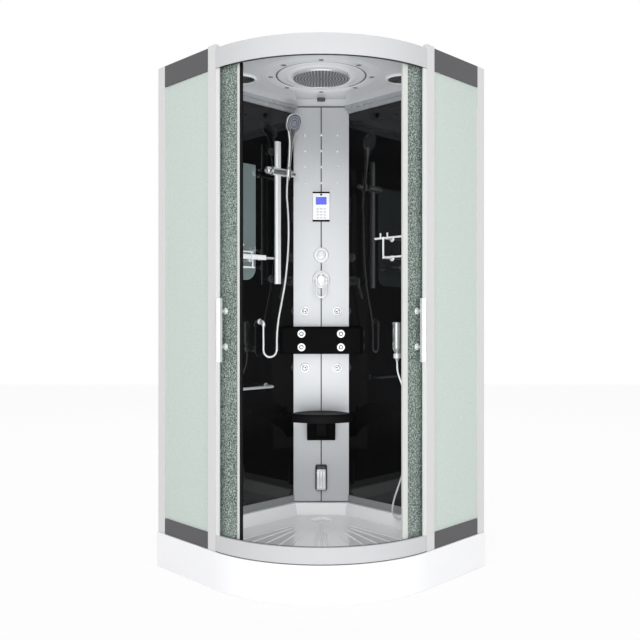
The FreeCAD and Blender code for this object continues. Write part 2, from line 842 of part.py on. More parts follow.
def make_ceiling_fittings():
    head = at_depth(rod("rain_radius", "rain_height"), "0", "rain_depth", "ceiling_z - rain_height")
    node("rain_head", head)

    lamps = []
    for step in range(LAMP_COUNT):
        angle = step * 360 / LAMP_COUNT
        x = f"lamp_ring_radius * sin({angle})"
        depth = f"rain_depth + lamp_ring_radius * cos({angle})"
        lamps.append(at_depth(rod("lamp_radius", "lamp_height"), x, depth, "ceiling_z - lamp_height"))
    sensor = new_body("sensor_body")
    pad(sensor, "XY_Plane", [stadium("sensor_half", "sensor_radius")], "sensor_height")
    at_depth(sensor, "0", "sensor_depth", "ceiling_z - sensor_height")
    node("ceiling_lights", group(*lamps, sensor))

    low = "ceiling_z - fan_bezel_height"
    bezel = at_depth(rod("fan_bezel_radius", "fan_bezel_height"), "fan_x", "fan_depth", low)
    cage_length = "fan_bezel_height + fan_cage_height"
    cage = at_depth(rod("fan_mouth_radius + fan_cage_wall", cage_length), "fan_x", "fan_depth", low)
    mouth = at_depth(rod("fan_mouth_radius", cage_length), "fan_x", "fan_depth", low)
    frame = cut(fuse(bezel, cage), mouth)
    spokes = []
    for angle in (0, 120, 240):
        spoke = box("fan_mouth_radius + fan_cage_wall / 2", "fan_spoke_width", "fan_cage_wall")
        spokes.append(turned(spoke, "fan_x", "fan_depth", "ceiling_z", angle, beside="fan_spoke_width / 2"))
    pin = at_depth(rod("fan_pin_radius", "fan_cage_height"), "fan_x", "fan_depth", "ceiling_z")
    node("fan_grille", fuse(frame, *spokes, pin))

    hub = at_depth(rod("fan_hub_radius", "fan_rotor_height"), "fan_x", "fan_depth", "fan_rotor_z")
    blades = []
    for step in range(BLADE_COUNT):
        blade = box("fan_blade_length", "fan_blade_width", "fan_blade_thick")
        z = "fan_rotor_z + fan_rotor_height / 2 - fan_blade_width / 2 * sin(fan_blade_tilt)"
        blades.append(turned(blade, "fan_x", "fan_depth", z, (step + 0.5) * 360 / BLADE_COUNT,
                             "fan_blade_root - fan_hub_radius", "fan_blade_width / 2 * cos(fan_blade_tilt)",
                             number("fan_blade_tilt")))
    bore = rod("fan_pin_radius + axle_clearance", "2 * fan_rotor_height")
    at_depth(bore, "fan_x", "fan_depth", "fan_rotor_z - fan_rotor_height / 2")
    node("fan_rotor", fuse(cut(hub, bore), *blades))

    disc = at_depth(rod("fan_bezel_radius", "fan_bezel_height"), "-fan_x", "fan_depth", low)
    recess = at_depth(rod("fan_mouth_radius", "fan_bezel_height / 2"), "-fan_x", "fan_depth", low)
    node("speaker", cut(disc, recess))


def boss_end(radius, face):
    """Where a round flat end meets the inside of the curved glass."""
    return f"sqrt(({face})^2 - ({radius})^2)"


def radial_rod(radius, from_radius, to_radius, angle, z):
    piece = rod(radius, f"({to_radius}) - ({from_radius})")
    return at_angle(piece, from_radius, angle, z, radial(number(angle)))


def make_doors():
    edge = "door_edge_angle"
    height = ("door_foot_z", "door_head_z")
    pane = rectangle("door_inner", "door_outer", *height)
    strip = rectangle("door_radius - seal_thick / 2", "door_radius + seal_thick / 2", *height)
    panes, seals = [], []
    for seal_edge in (f"{edge} + wide_seal_angle", f"{edge} + slim_seal_angle"):
        panes.append(ring("door_glass", [pane], seal_edge, f"{edge} + door_angle"))
        seals.append(ring("door_seal", [strip], edge, seal_edge))
    node("door_glass_right", panes[0])
    node("door_glass_left", mirror(panes[1]))
    node("door_seal_right", seals[0])
    magnet = ring("door_magnet", [pane], f"{edge} - magnet_angle", edge)
    node("door_seal_left", group(mirror(seals[1]), mirror(magnet)))

    grip = f"{edge} + grip_angle"
    bar = new_body("handle_bar_body")
    half, thick = "handle_width / 2", "handle_thick / 2"
    pad(bar, "XY_Plane", [rectangle(f"-{half}", half, f"-{thick}", thick)], "handle_length")
    at_angle(bar, "handle_place", grip, "handle_foot_z", Rotation(Vector(0, 0, 1), number(grip)))
    studs, knobs = [], []
    for z in ("handle_foot_z + stud_low", "handle_foot_z + stud_low + stud_spacing"):
        studs.append(radial_rod("stud_radius", "door_outer", "handle_place", grip, z))
        end = boss_end("knob_radius", "door_inner")
        knobs.append(radial_rod("knob_radius", f"{end} - knob_height", end, grip, z))
    handle = group(fuse(bar, *studs), *knobs)
    node("door_handle_right", handle)
    node("door_handle_left", mirror(handle))

    end = boss_end("boss_radius", "door_inner")
    carriers, rollers = [], []
    for angle, z in ((grip, "top_axle_z"), (f"{edge} + tail_angle", "top_axle_z"),
                     (grip, "low_axle_z"), (f"{edge} + low_tail_angle", "low_axle_z")):
        boss = radial_rod("boss_radius", "boss_near", end, angle, z)
        axle = radial_rod("axle_radius", "roller_near", "boss_near", angle, z)
        wheel = radial_rod("roller_radius", "roller_near", "roller_near + roller_width", angle, z)
        if z == "low_axle_z":
            carriers.append(fuse(boss, axle, wheel))
            continue
        carriers.append(fuse(boss, axle))
        bore = radial_rod("wheel_hub", "roller_near", "roller_near + roller_width", angle, z)
        rollers.append(cut(wheel, bore))
    hangers = group(*carriers)
    node("door_hangers_right", hangers)
    node("door_hangers_left", mirror(hangers))
    for name, roller in zip(("front", "rear"), rollers):
        node(f"door_roller_right_{name}", roller)
        node(f"door_roller_left_{name}", mirror(roller))


def make_column():
    body = new_body("column_body")
    face, half, wall, side = "column_face", "column_half", "column_wall", "column_return / sqrt(2)"
    section = [
        (face, "column_seam / 2"), (face, half), (f"{face} - {side}", f"{half} - {side}"),
        (f"{face} - {side} + {wall} / sqrt(2)", f"{half} - {side} - {wall} / sqrt(2)"),
        (f"{face} - {wall}", f"{half} - {wall} - {wall} * sqrt(2)"), (f"{face} - {wall}", "column_seam / 2"),
    ]
    height = "ceiling_z - tray_height"
    pad(body, "XY_Plane", [section], height)
    node("column_right", put(body, "0", "corner_y", "tray_height", FORWARD))
    node("column_left", mirror(body))
    spine = box("2 * spine_half", wall, height)
    node("column_spine", at_depth(spine, "-spine_half", f"{face} - {wall}", "tray_height"))

    back = f"{face} - 2 * {wall}"
    case = box("generator_width", "generator_depth", "generator_height")
    at_depth(case, "-generator_width / 2", back, "generator_foot_z")
    pipe_foot = "steam_foot_z + steam_height / 2"
    middle = f"{back} - generator_depth / 2"
    drop = rod("steam_pipe_radius", f"generator_foot_z - ({pipe_foot})")
    run = at_depth(rod("steam_pipe_radius", "generator_depth / 2"), "0", middle, pipe_foot, OUTWARD)
    elbow = at_depth(ball("steam_pipe_radius"), "0", middle, pipe_foot)
    node("steam_generator", fuse(case, at_depth(drop, "0", middle, pipe_foot), run, elbow))

    outlet = box("steam_width", "steam_depth", "steam_height")
    at_depth(outlet, "-steam_width / 2", f"{face} + steam_depth", "steam_foot_z")
    slot = box("steam_width - 2 * panel_round", "steam_slot_depth", "steam_slot_height")
    slot_z = "steam_foot_z + steam_height - steam_slot_height - steam_slot_lip"
    at_depth(slot, "panel_round - steam_width / 2", f"{face} + steam_depth", slot_z)
    node("steam_outlet", cut(outlet, slot))


def make_jets():
    micro = []
    for column in (-1, 0, 1):
        for level in range(4):
            jet = rod("jet_micro_radius", "jet_micro_height")
            x, z = f"{column} * jet_column_pitch", f"jet_top_z - {level} * jet_row_pitch"
            micro.append(at_depth(jet, x, "column_face", z, OUTWARD))
    node("micro_jets", group(*micro))

    jets = []
    for side in (-1, 1):
        for z in ("jet_body_high_z", "jet_body_low_z"):
            jet = rod("jet_body_radius", "jet_body_height")
            jets.append(at_depth(jet, f"{side} * jet_column_pitch", "column_face", z, OUTWARD))
        for level in (0, 1):
            jet = rod("rest_jet_radius", "rest_jet_height")
            z = f"rest_foot_z + rest_jet_low + {level} * rest_jet_pitch"
            jets.append(at_depth(jet, f"{side} * rest_jet_x", "rest_face", z, OUTWARD))
    node("body_jets", group(*jets))


def make_controls():
    body = new_body("panel_body")
    half = "panel_width / 2"
    face = rounded(f"-{half}", half, "0", "panel_height", "panel_round")
    pad(body, "XZ_Plane", [face], "panel_depth")
    keys = []
    for column in (-1, 0, 1):
        for level in range(4):
            middle = f"{column} * key_pitch_x"
            foot = f"key_foot + {level} * key_pitch_z"
            keys.append(rectangle(f"{middle} - key_width / 2", f"{middle} + key_width / 2",
                                  foot, f"{foot} + key_height"))
    pad(body, "XZ_Plane", keys, "key_rise", "panel_depth")
    node("control_panel", at_depth(body, "0", "column_face", "panel_foot_z"))
    screen = box("screen_width", "screen_rise", "screen_height")
    front = "column_face + panel_depth + screen_rise"
    node("control_screen", at_depth(screen, "-screen_width / 2", front, "panel_foot_z + screen_foot"))

    plate = at_depth(rod("diverter_plate_radius", "plate_height"), "0", "column_face", "diverter_z", OUTWARD)
    mixer = at_depth(rod("mixer_plate_radius", "plate_height"), "0", "column_face", "mixer_z", OUTWARD)
    barrel = rod("mixer_radius", "plate_height + mixer_length")
    at_depth(barrel, "0", "column_face", "mixer_z", OUTWARD)
    node("valve_bodies", group(plate, fuse(mixer, barrel)))

    front = "column_face + plate_height + control_gap"
    dial = at_depth(rod("diverter_radius", "diverter_length"), "0", front, "diverter_z", OUTWARD)
    grip_span = "2 * diverter_radius - 2 * grip_height"
    grip = box("2 * grip_height", "grip_height + diverter_length / 2", grip_span)
    at_depth(grip, "-grip_height", f"{front} + diverter_length + grip_height",
             "diverter_z - diverter_radius + grip_height")
    node("diverter_knob", fuse(dial, grip))

    front = "column_face + plate_height + mixer_length + control_gap"
    pivot = f"{front} + lever_pin_out"
    cap = at_depth(rod("cap_radius", "cap_length"), "0", front, "mixer_z", OUTWARD)
    pin = rod("lever_pin_radius", "2 * (lever_half_width + lever_wire)")
    at_depth(pin, "-lever_half_width - lever_wire", pivot, "mixer_z", ALONG)
    node("mixer_cap", fuse(cap, pin))

    arms, eyes, bores = [], [], []
    for side in (-1, 1):
        x = f"{side} * lever_half_width - lever_wire"
        eyes.append(put(rod("2 * lever_wire", "2 * lever_wire"), x, "0", "0", ALONG))
        bores.append(put(rod("lever_pin_radius + hinge_pin_clearance", "2 * lever_wire"), x, "0", "0", ALONG))
        drop = "lever_drop - lever_half_width"
        arms.append(put(rod("lever_wire", drop), f"{side} * lever_half_width", "0", f"-({drop})"))
    bend = doc.addObject("Part::Torus", "bend")
    bind(bend, Radius1="lever_half_width", Radius2="lever_wire", Angle3="180")
    put(bend, "0", "0", "lever_half_width - lever_drop", Rotation(Vector(1, 0, 0), -90))
    lever = cut(fuse(*eyes, *arms, bend), *bores)
    lean = Rotation(Vector(-1, 0, 0), number("lever_lean"))
    node("mixer_lever", at_depth(lever, "0", pivot, "mixer_z", lean))


def make_backrest():
    body = new_body("rest_body")
    offset = "(wall_face + rest_gap) * sqrt(2)"
    narrow, wide = f"column_face - {offset}", f"rest_face - {offset}"
    # The ends are blunt where the front would run out to a knife edge along the walls.
    blunt, end = "rest_face - rest_blunt", f"{wide} - rest_blunt"
    plan_view = [("column_face", f"-({narrow})"), (blunt, f"-({end})"), ("rest_face", f"-({end})"),
                 ("rest_face", end), (blunt, end), ("column_face", narrow)]
    base = pad(body, "XY_Plane", [plan_view], "rest_height")
    front = [f"Edge{index + 1}" for index, edge in enumerate(base.Shape.Edges)
             if all(abs(vertex.Point.x - number("rest_face")) < 0.01 for vertex in edge.Vertexes)]
    fillet = body.newObject("PartDesign::Fillet", "fillet")
    fillet.Base = (base, front)
    fillet.setExpression("Radius", formula("rest_round"))
    body.Tip = fillet
    node("backrest", put(body, "0", "corner_y", "rest_foot_z", FORWARD))


def across(radius, x_from, x_to):
    """A rod along X on the hinge axis of the seat."""
    piece = rod(radius, f"({x_to}) - ({x_from})")
    return at_depth(piece, x_from, "hinge_depth", "hinge_z", ALONG)


def make_seat():
    body = new_body("seat_body")
    # Four arcs that run into each other: a wide one in front, a round one behind and two small ends.
    centres = {"rear": "(seat_back + rear_radius)", "fore": "(seat_front - fore_radius)"}
    joints = {}
    for side, centre in centres.items():
        share = f"{side}_radius / ({side}_radius - seat_end_radius)"
        joints[side] = f"{centre} + {share} * (seat_middle - {centre})", f"{share} * seat_end_x"
    (rear, rear_x), (fore, fore_x) = joints["rear"], joints["fore"]
    outline = [(fore, f"-({fore_x})", "seat_middle"), (fore, fore_x, centres["fore"]),
               (rear, rear_x, "seat_middle"), (rear, f"-({rear_x})", centres["rear"])]
    pad(body, "XY_Plane", [outline], "seat_thick")
    put(body, "0", "corner_y", "seat_top_z - seat_thick", FORWARD)
    lug_end = "hinge_lug_x + hinge_lug_width"
    lugs, bores = [], []
    for x_from, x_to in (("hinge_lug_x", lug_end), (f"-({lug_end})", "-hinge_lug_x")):
        lugs.append(across("hinge_radius", x_from, x_to))
        bores.append(across("hinge_pin_radius + hinge_pin_clearance", x_from, x_to))
        web = box(f"({x_to}) - ({x_from})", "seat_back + rear_sag - hinge_depth", "hinge_web")
        lugs.append(at_depth(web, x_from, "seat_back + rear_sag", "hinge_z - hinge_web / 2"))
    node("seat", cut(fuse(body, *lugs), *bores))

    bracket = new_body("bracket_body")
    wall, nose, top = "column_face", "bracket_body", "seat_top_z - seat_thick - control_gap"
    heart = f"({wall} + {nose}) / 2"
    box_side = [(heart, "bracket_foot_z"), (nose, "(bracket_foot_z + hinge_z) / 2"),
                (nose, top), (wall, top), (wall, "bracket_foot_z")]
    pad(bracket, "XZ_Plane", [box_side], "bracket_width", both_ways=True)
    arm = [("bracket_arm", f"{top} - bracket_arm_height"), ("bracket_arm", top),
           (heart, top), (heart, "bracket_foot_z + bracket_arm_height")]
    pad(bracket, "XZ_Plane", [arm], "bracket_arm_width", both_ways=True)
    put(bracket, "0", "corner_y", "0", FORWARD)
    inner = "hinge_lug_x - hinge_side_gap"
    ears = []
    outer = f"{lug_end} + hinge_side_gap + hinge_ear_width"
    for x_from, x_to in ((f"-({inner})", inner), (f"{lug_end} + hinge_side_gap", outer),
                         (f"-({outer})", f"-({lug_end} + hinge_side_gap)")):
        ears.append(across("hinge_radius", x_from, x_to))
        stem = box(f"({x_to}) - ({x_from})", "2 * hinge_radius", f"hinge_z - ({top})")
        ears.append(at_depth(stem, x_from, "hinge_depth + hinge_radius", top))
    pin = across("hinge_pin_radius", f"-({outer})", outer)
    node("seat_bracket", fuse(bracket, *ears, pin))


def from_left_wall(radius, reach, b, z):
    """A rod that stands out of the left wall."""
    return at_wall(rod(radius, reach), "wall_face", b, z, LEFT_WALL * OUTWARD)


def from_right_wall(radius, reach, a, z):
    """A rod that stands out of the right wall."""
    return at_wall(rod(radius, reach), a, "wall_face", z, RIGHT_WALL * OUTWARD)


def along_left_wall(radius, b_from, b_to, a, z):
    return at_wall(rod(radius, f"({b_from}) - ({b_to})"), a, b_from, z, LEFT_WALL * ALONG)


def along_right_wall(radius, a_from, a_to, b, z):
    return at_wall(rod(radius, f"({a_to}) - ({a_from})"), a_from, b, z, RIGHT_WALL * ALONG)


def make_slide_rail():
    half, thick = "(slide_width - slide_thick) / 2", "slide_thick / 2"
    bar = new_body("slide_body")
    pad(bar, "XY_Plane", [stadium(half, thick)], "slide_top_z - slide_foot_z")
    pieces = [at_wall(bar, "rail_stand", "slide_b", "slide_foot_z", LEFT_WALL)]
    for z in ("slide_bracket_low_z", "slide_bracket_high_z"):
        pieces.append(from_left_wall("slide_bracket_radius", "rail_stand - wall_face", "slide_b", z))
        pieces.append(from_left_wall("slide_plate_radius", "slide_plate_height", "slide_b", z))
    node("slide_bar", fuse(*pieces))

    barrel = along_left_wall("slider_radius", "slider_left", "slider_right", "rail_stand", "slider_z")
    knob = at_wall(ball("slider_knob_radius"), "rail_stand", "slider_left + slider_knob_radius", "slider_z")
    channel = new_body("channel_body")
    pad(channel, "XY_Plane", [stadium(half, f"{thick} + slider_clearance")], "4 * slider_radius")
    at_wall(channel, "rail_stand", "slide_b", "slider_z - 2 * slider_radius", LEFT_WALL)
    socket_end = "slider_right + holder_pin_length"
    socket = along_left_wall("holder_pin_radius + hinge_pin_clearance", socket_end, "slider_right",
                             "rail_stand", "slider_z")
    stem = along_left_wall("slider_stem_radius", "slider_left + slider_knob_radius", "slider_left",
                           "rail_stand", "slider_z")
    node("slider", cut(fuse(barrel, stem, knob), channel, socket))

    lean = number("handset_lean")
    leaning = LEFT_WALL * Rotation(Vector(1, 0, 0), lean)
    near = "slider_right - holder_gap"
    arm = along_left_wall("holder_radius", near, "holder_end", "rail_stand", "slider_z")
    pin = along_left_wall("holder_pin_radius", f"{socket_end} - holder_gap", near, "rail_stand", "slider_z")
    half_cup = "holder_cup_height / 2"
    foot_a = f"rail_stand - {half_cup} * sin(handset_lean)"
    foot_z = f"slider_z - {half_cup} * cos(handset_lean)"
    cup = at_wall(rod("holder_cup_radius", "holder_cup_height"), foot_a, "holder_b", foot_z, leaning)
    bore = rod("handset_nut_radius + handset_fit", "holder_cup_height")
    at_wall(bore, foot_a, "holder_b", foot_z, leaning)
    node("handset_holder", cut(fuse(arm, pin, cup), bore))

    handle = new_body("handle_body")
    nut, waist, tail = "handset_nut_radius", "handset_waist", "handset_drop"
    top = "handset_head_up - handset_head_radius / 2"
    swell = f"{waist} + handset_swell"
    outline = [
        (waist, f"-{tail}"), (nut, f"-{half_cup}"), (nut, half_cup), (waist, f"{half_cup} + {nut}"),
        (swell, "handset_head_up / 2"), (swell, top), ("0", top), ("0", f"-{tail}"),
    ]
    revolve(handle, [outline], "360")
    head = rod("handset_head_radius", "handset_head_thick")
    put(head, "0", "handset_head_out", "handset_head_up",
        Rotation(Vector(1, 0, 0), 180 - number("handset_head_tilt")))
    handset = fuse(handle, head)
    node("handset", at_wall(handset, "rail_stand", "holder_b", "slider_z", leaning))


def make_left_wall_fittings():
    mirror_body = new_body("mirror_body")
    width, height, bend = "mirror_far - mirror_near", "mirror_top_z - mirror_foot_z", "mirror_round"
    outline = [(f"{width} - {bend}", "0"), (width, bend, f"{width} - {bend}"), (width, height),
               ("0", height), ("0", bend), (bend, "0", bend)]
    pad(mirror_body, "XZ_Plane", [outline], "mirror_thick")
    node("mirror", at_wall(mirror_body, "wall_face", "mirror_far", "mirror_foot_z", LEFT_WALL))

    front = "wall_face + mirror_thick"
    shelf_top = "shelf_z + shelf_thick"
    node("glass_shelf", wall_box(front, "shelf_reach", "shelf_near", "mirror_far", "shelf_z", shelf_top))
    edge, inset = "shelf_reach - 2 * gallery_radius", "2 * gallery_radius"
    gallery, underbar = [], []
    for rails, near, bar_z, post_foot, post_top in (
            (gallery, "gallery_near", "gallery_z", shelf_top, "gallery_z"),
            (gallery, "gallery_high_near", "gallery_high_z", shelf_top, "gallery_high_z"),
            (underbar, "underbar_near", "underbar_z", "underbar_z", "shelf_z")):
        rails.append(along_left_wall("gallery_radius", "mirror_far", near, edge, bar_z))
        for b in (f"mirror_far - {inset}", f"{near} + {inset}"):
            post = rod("gallery_post_radius", f"{post_top} - ({post_foot})")
            rails.append(at_wall(post, edge, b, post_foot))
    middle = "shelf_z + shelf_thick / 2"
    band = wall_box("shelf_reach", "shelf_reach + shelf_band_thick", "shelf_band_near", "mirror_far",
                    f"{middle} - shelf_band_height / 2", f"{middle} + shelf_band_height / 2")
    grab = [along_left_wall("grab_radius", "grab_far", "grab_near", "grab_stand", "grab_z")]
    for b in ("grab_far - grab_radius", "grab_near + grab_radius"):
        grab.append(from_left_wall("grab_radius", "grab_stand - wall_face", b, "grab_z"))
        grab.append(from_left_wall("2 * grab_radius", "towel_plate_height", b, "grab_z"))
    node("wall_rails", group(fuse(*gallery), fuse(*underbar), band, fuse(*grab)))


def make_right_wall_fittings():
    bars = []
    for z, near in (("towel_high_z", "towel_near - towel_stub"), ("towel_low_z", "towel_near")):
        bars.append(along_right_wall("towel_radius", near, "towel_far", "towel_stand", z))
        for a in ("towel_near", "towel_far - towel_radius"):
            bars.append(from_right_wall("towel_radius + towel_step", "towel_stand - wall_face", a, z))
            bars.append(from_right_wall("towel_plate_radius", "towel_plate_height", a, z))
    for a in ("towel_near", "towel_far - towel_radius"):
        link = rod("towel_radius - towel_step", "towel_high_z - towel_low_z")
        bars.append(at_wall(link, a, "towel_stand", "towel_low_z"))
    bars.append(at_wall(ball("towel_radius"), "towel_near", "towel_stand", "towel_low_z"))
    for a in ("towel_peg_left", "towel_peg_right"):
        peg = rod("towel_radius - towel_step", "towel_peg_height")
        bars.append(at_wall(peg, a, "towel_stand", "towel_high_z"))
    node("towel_rail", fuse(*bars))

    spray = new_body("spray_body")
    body_radius, head_radius = "spray_radius", "spray_head_radius"
    neck = "spray_height - spray_head_length"
    outline = [
        ("spray_foot_radius", "0"), (body_radius, body_radius), (body_radius, neck),
        (head_radius, f"{neck} + {head_radius}"), (head_radius, "spray_height"),
        ("0", "spray_height"), ("0", "0"),
    ]
    revolve(spray, [outline], "360")
    node("hand_spray", at_wall(spray, "spray_a", "spray_b", "spray_foot_z"))


def make_outlets():
    plate = from_left_wall("elbow_plate_radius", "elbow_plate_height", "elbow_b", "elbow_z")
    reach = from_left_wall("elbow_radius", "elbow_stand - wall_face", "elbow_b", "elbow_z")
    bend = at_wall(ball("elbow_radius"), "elbow_stand", "elbow_b", "elbow_z")
    tail = at_wall(rod("elbow_radius", "elbow_drop"), "elbow_stand", "elbow_b", "elbow_z - elbow_drop")
    left = fuse(plate, reach, bend, tail)

    half = "spray_rest_width / 2"
    top = "spray_rest_z + spray_rest_height"
    sides = (f"spray_a - {half}", f"spray_a + {half}")
    rest = wall_box(*sides, "wall_face", f"spray_b + {half}", "spray_rest_z", top)
    bore = rod("spray_radius + spray_fit", "spray_rest_height")
    at_wall(bore, "spray_a", "spray_b", "spray_rest_z")

    plate = from_right_wall("elbow_plate_radius", "elbow_plate_height", "outlet_a", "outlet_z")
    reach = from_right_wall("elbow_radius", "spray_b - wall_face", "outlet_a", "outlet_z")
    bend = at_wall(ball("elbow_radius"), "outlet_a", "spray_b", "outlet_z")
    tail = at_wall(rod("elbow_radius", "elbow_drop"), "outlet_a", "spray_b", "outlet_z - elbow_drop")
    node("wall_outlets", group(left, cut(rest, bore), fuse(plate, reach, bend, tail)))


# Hose routes, as (a, b, z). Each runs from the outlet elbow to its handset.
SHOWER_ROUTE = [
    (47.5, 438.5, 1028), (47.5, 438.5, 990), (48.1, 438.5, 945), (47.5, 438.5, 907),
    (51.2, 425.6, 888.5), (57.2, 404.6, 881.4), (63.2, 383.7, 888.5), (67, 370.8, 907),
    (67.8, 370.6, 941), (68.6, 371.5, 988),
    (69, 362, 1062), (69, 341, 1145), (69, 322, 1220), (69, 307, 1310), (69, 297, 1410),
    (69, 294, 1515), (66, 297, 1610), (56.45, 298, 1685.68), (64.8, 298, 1745.09),
]
SPRAY_ROUTE = [
    (684, 66, 585), (684, 66, 545), (683.5, 68.5, 475), (678, 73, 390), (670, 80, 310), (658, 85, 240),
    (642, 88, 198), (622, 91, 160), (597, 92, 143.5), (570, 92, 150), (556.5, 92, 175), (562, 92, 218),
    (588, 91, 286), (618, 89, 360), (636, 86, 450), (638, 80, 548), (631, 75, 640), (618, 71, 710),
    (598, 68, 760), (578, 66.5, 796), (565, 66, 832), (565, 66, 870),
]


def room_point(a, b, z):
    return Vector((a - b) / math.sqrt(2), number("corner_y") - (a + b) / math.sqrt(2), z)


def make_hose(name, route, radius):
    """A round hose: straight runs joined by tangent arcs as large as the runs allow."""
    points = [room_point(*point) for point in route]
    edges, radii = [], []
    start = points[0]
    for before, corner, after in zip(points, points[1:], points[2:]):
        arriving, leaving = corner - before, after - corner
        turn = arriving.getAngle(leaving)
        setback = 0.45 * min(arriving.Length, leaving.Length)
        radii.append(setback / math.tan(turn / 2))
        arriving.normalize()
        leaving.normalize()
        arc_start = corner - arriving * setback
        arc_end = corner + leaving * setback
        bisector = (leaving - arriving).normalize()
        centre = corner + bisector * (radii[-1] / math.cos(turn / 2))
        middle = centre - bisector * radii[-1]
        edges.append(Part.LineSegment(start, arc_start).toShape())
        edges.append(Part.Arc(arc_start, middle, arc_end).toShape())
        start = arc_end
    edges.append(Part.LineSegment(start, points[-1]).toShape())
    path = Part.Wire(edges)
    section = Part.Wire([Part.Circle(points[0], points[1] - points[0], radius).toShape()])
    tube = path.makePipeShell([section], True, False)
    print(f"{name}: length {path.Length:.1f}, tightest radius {min(radii):.1f}")
    if abs(tube.Volume / (math.pi * radius ** 2 * path.Length) - 1) > 0.01:
        raise ValueError(f"{name}: the tube does not follow its route")
    hose = doc.addObject("Part::Feature", name)
    hose.Shape = tube
    node(name, hose)


def check_objects():
    """Stop if anything in the document failed, or if a sub-part is not a sound solid."""
    doc.recompute()
    for piece in doc.Objects:
        if "Invalid" in piece.State or "Error" in piece.State:
            raise ValueError(f"{piece.Label} failed: {piece.State}")
    for piece in nodes:
        if piece.Shape.isNull() or not piece.Shape.isValid() or not piece.Shape.Solids:
            raise ValueError(f"{piece.Label} is not a sound solid")


make_tray()
make_undercarriage()
make_walls()
make_side_panels()
make_rails()
make_roof()
make_ceiling_fittings()
make_doors()
make_column()
make_jets()
make_controls()
make_backrest()
make_seat()
make_slide_rail()
make_left_wall_fittings()
make_right_wall_fittings()
make_outlets()
make_hose("shower_hose", SHOWER_ROUTE, number("hose_radius"))
make_hose("spray_hose", SPRAY_ROUTE, number("spray_hose_radius"))
check_objects()

for piece in nodes:
    piece.Shape.exportStep(f"parts/{piece.Label}.step")
print(len(nodes), "sub-parts")
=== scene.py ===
import json
from math import atan2, copysign, cos, degrees, pi, radians, sin, sqrt

import bmesh
import bpy
from mathutils import Matrix, Vector

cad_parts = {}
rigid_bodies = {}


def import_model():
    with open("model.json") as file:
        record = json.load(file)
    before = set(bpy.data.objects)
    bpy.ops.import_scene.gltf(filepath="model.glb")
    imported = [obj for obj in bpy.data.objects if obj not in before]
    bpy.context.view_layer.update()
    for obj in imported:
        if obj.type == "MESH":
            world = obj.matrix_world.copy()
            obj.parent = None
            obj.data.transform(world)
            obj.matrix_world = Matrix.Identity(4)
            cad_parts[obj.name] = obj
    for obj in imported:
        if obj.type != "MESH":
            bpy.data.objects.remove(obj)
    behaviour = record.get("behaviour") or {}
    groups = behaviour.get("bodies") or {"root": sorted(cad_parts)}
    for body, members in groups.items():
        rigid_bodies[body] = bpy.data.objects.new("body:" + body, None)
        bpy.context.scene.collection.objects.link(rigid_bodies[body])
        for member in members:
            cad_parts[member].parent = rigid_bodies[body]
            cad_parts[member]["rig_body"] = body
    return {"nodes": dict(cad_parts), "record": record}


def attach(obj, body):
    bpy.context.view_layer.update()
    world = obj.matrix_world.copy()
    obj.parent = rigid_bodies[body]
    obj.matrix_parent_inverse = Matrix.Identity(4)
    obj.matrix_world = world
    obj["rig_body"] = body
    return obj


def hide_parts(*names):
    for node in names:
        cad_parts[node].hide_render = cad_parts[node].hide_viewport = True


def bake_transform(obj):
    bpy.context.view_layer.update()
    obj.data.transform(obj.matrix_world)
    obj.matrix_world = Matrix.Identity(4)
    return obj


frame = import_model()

# Steam shower cabin, dressed. Lengths in this script are millimetres unless a name says otherwise,
# and every placing matrix scales them to metres. The room corner is behind the cabin on the Y axis.
# a is the distance from the left wall, b the one from the right wall, and depth is counted from the
# room corner along the diagonal. Left and right are as the camera sees them.

NODES = frame["nodes"]
SLOTS = {row["node"]: row["material_slot"] for row in frame["record"]["subparts"]}
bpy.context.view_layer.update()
MM = 0.001
TINY = 1e-6
ARC_INSET, ARC_RADIUS = 393, 607
CORNER_Y = (ARC_INSET * sqrt(2) + ARC_RADIUS) / 2
ARC_Y = CORNER_Y - ARC_INSET * sqrt(2)
WORLD = Matrix.Scale(MM, 4)
FRONT, BACK = Vector((0, -1, 0)), Vector((0, 1, 0))
UP, DOWN = Vector((0, 0, 1)), Vector((0, 0, -1))
LEFT_OUT = Vector((1, -1, 0)).normalized()
RIGHT_OUT = Vector((-1, -1, 0)).normalized()
SIDES = ("right", "left")


def spot(x, depth, z):
    return Vector((x, CORNER_Y - depth, z))


def room(a, b, z):
    return Vector(((a - b) / sqrt(2), CORNER_Y - (a + b) / sqrt(2), z))


def on_arc(radius, angle, z):
    turn = radians(angle)
    return Vector((radius * sin(turn), ARC_Y - radius * cos(turn), z))


def stand(origin, out, up=UP):
    """A placing matrix whose Z points along out and whose Y points along up."""
    z_axis = Vector(out).normalized()
    y_axis = Vector(up)
    y_axis = (y_axis - z_axis * y_axis.dot(z_axis)).normalized()
    x_axis = y_axis.cross(z_axis)
    turn = Matrix((x_axis, y_axis, z_axis)).transposed().to_4x4()
    return WORLD @ Matrix.Translation(origin) @ turn


def spin(angle, axis="Z"):
    return Matrix.Rotation(radians(angle), 4, axis)


def shift(x, y, z):
    return Matrix.Translation((x, y, z))


def around(radius, share, height=0):
    """A point on a circle about Z, at a share of the full turn."""
    return Vector((radius * cos(2 * pi * share), radius * sin(2 * pi * share), height))


def quarter(centre, first, last, steps=6):
    """Points of a quarter turn about a centre, from one arm to the other."""
    turns = [pi / 2 * step / steps for step in range(steps + 1)]
    return [centre + first * cos(turn) + last * sin(turn) for turn in turns]


def add(name, data):
    thing = bpy.data.objects.new(name, data)
    bpy.context.scene.collection.objects.link(thing)
    return thing


# Camera, fitted to the photograph.

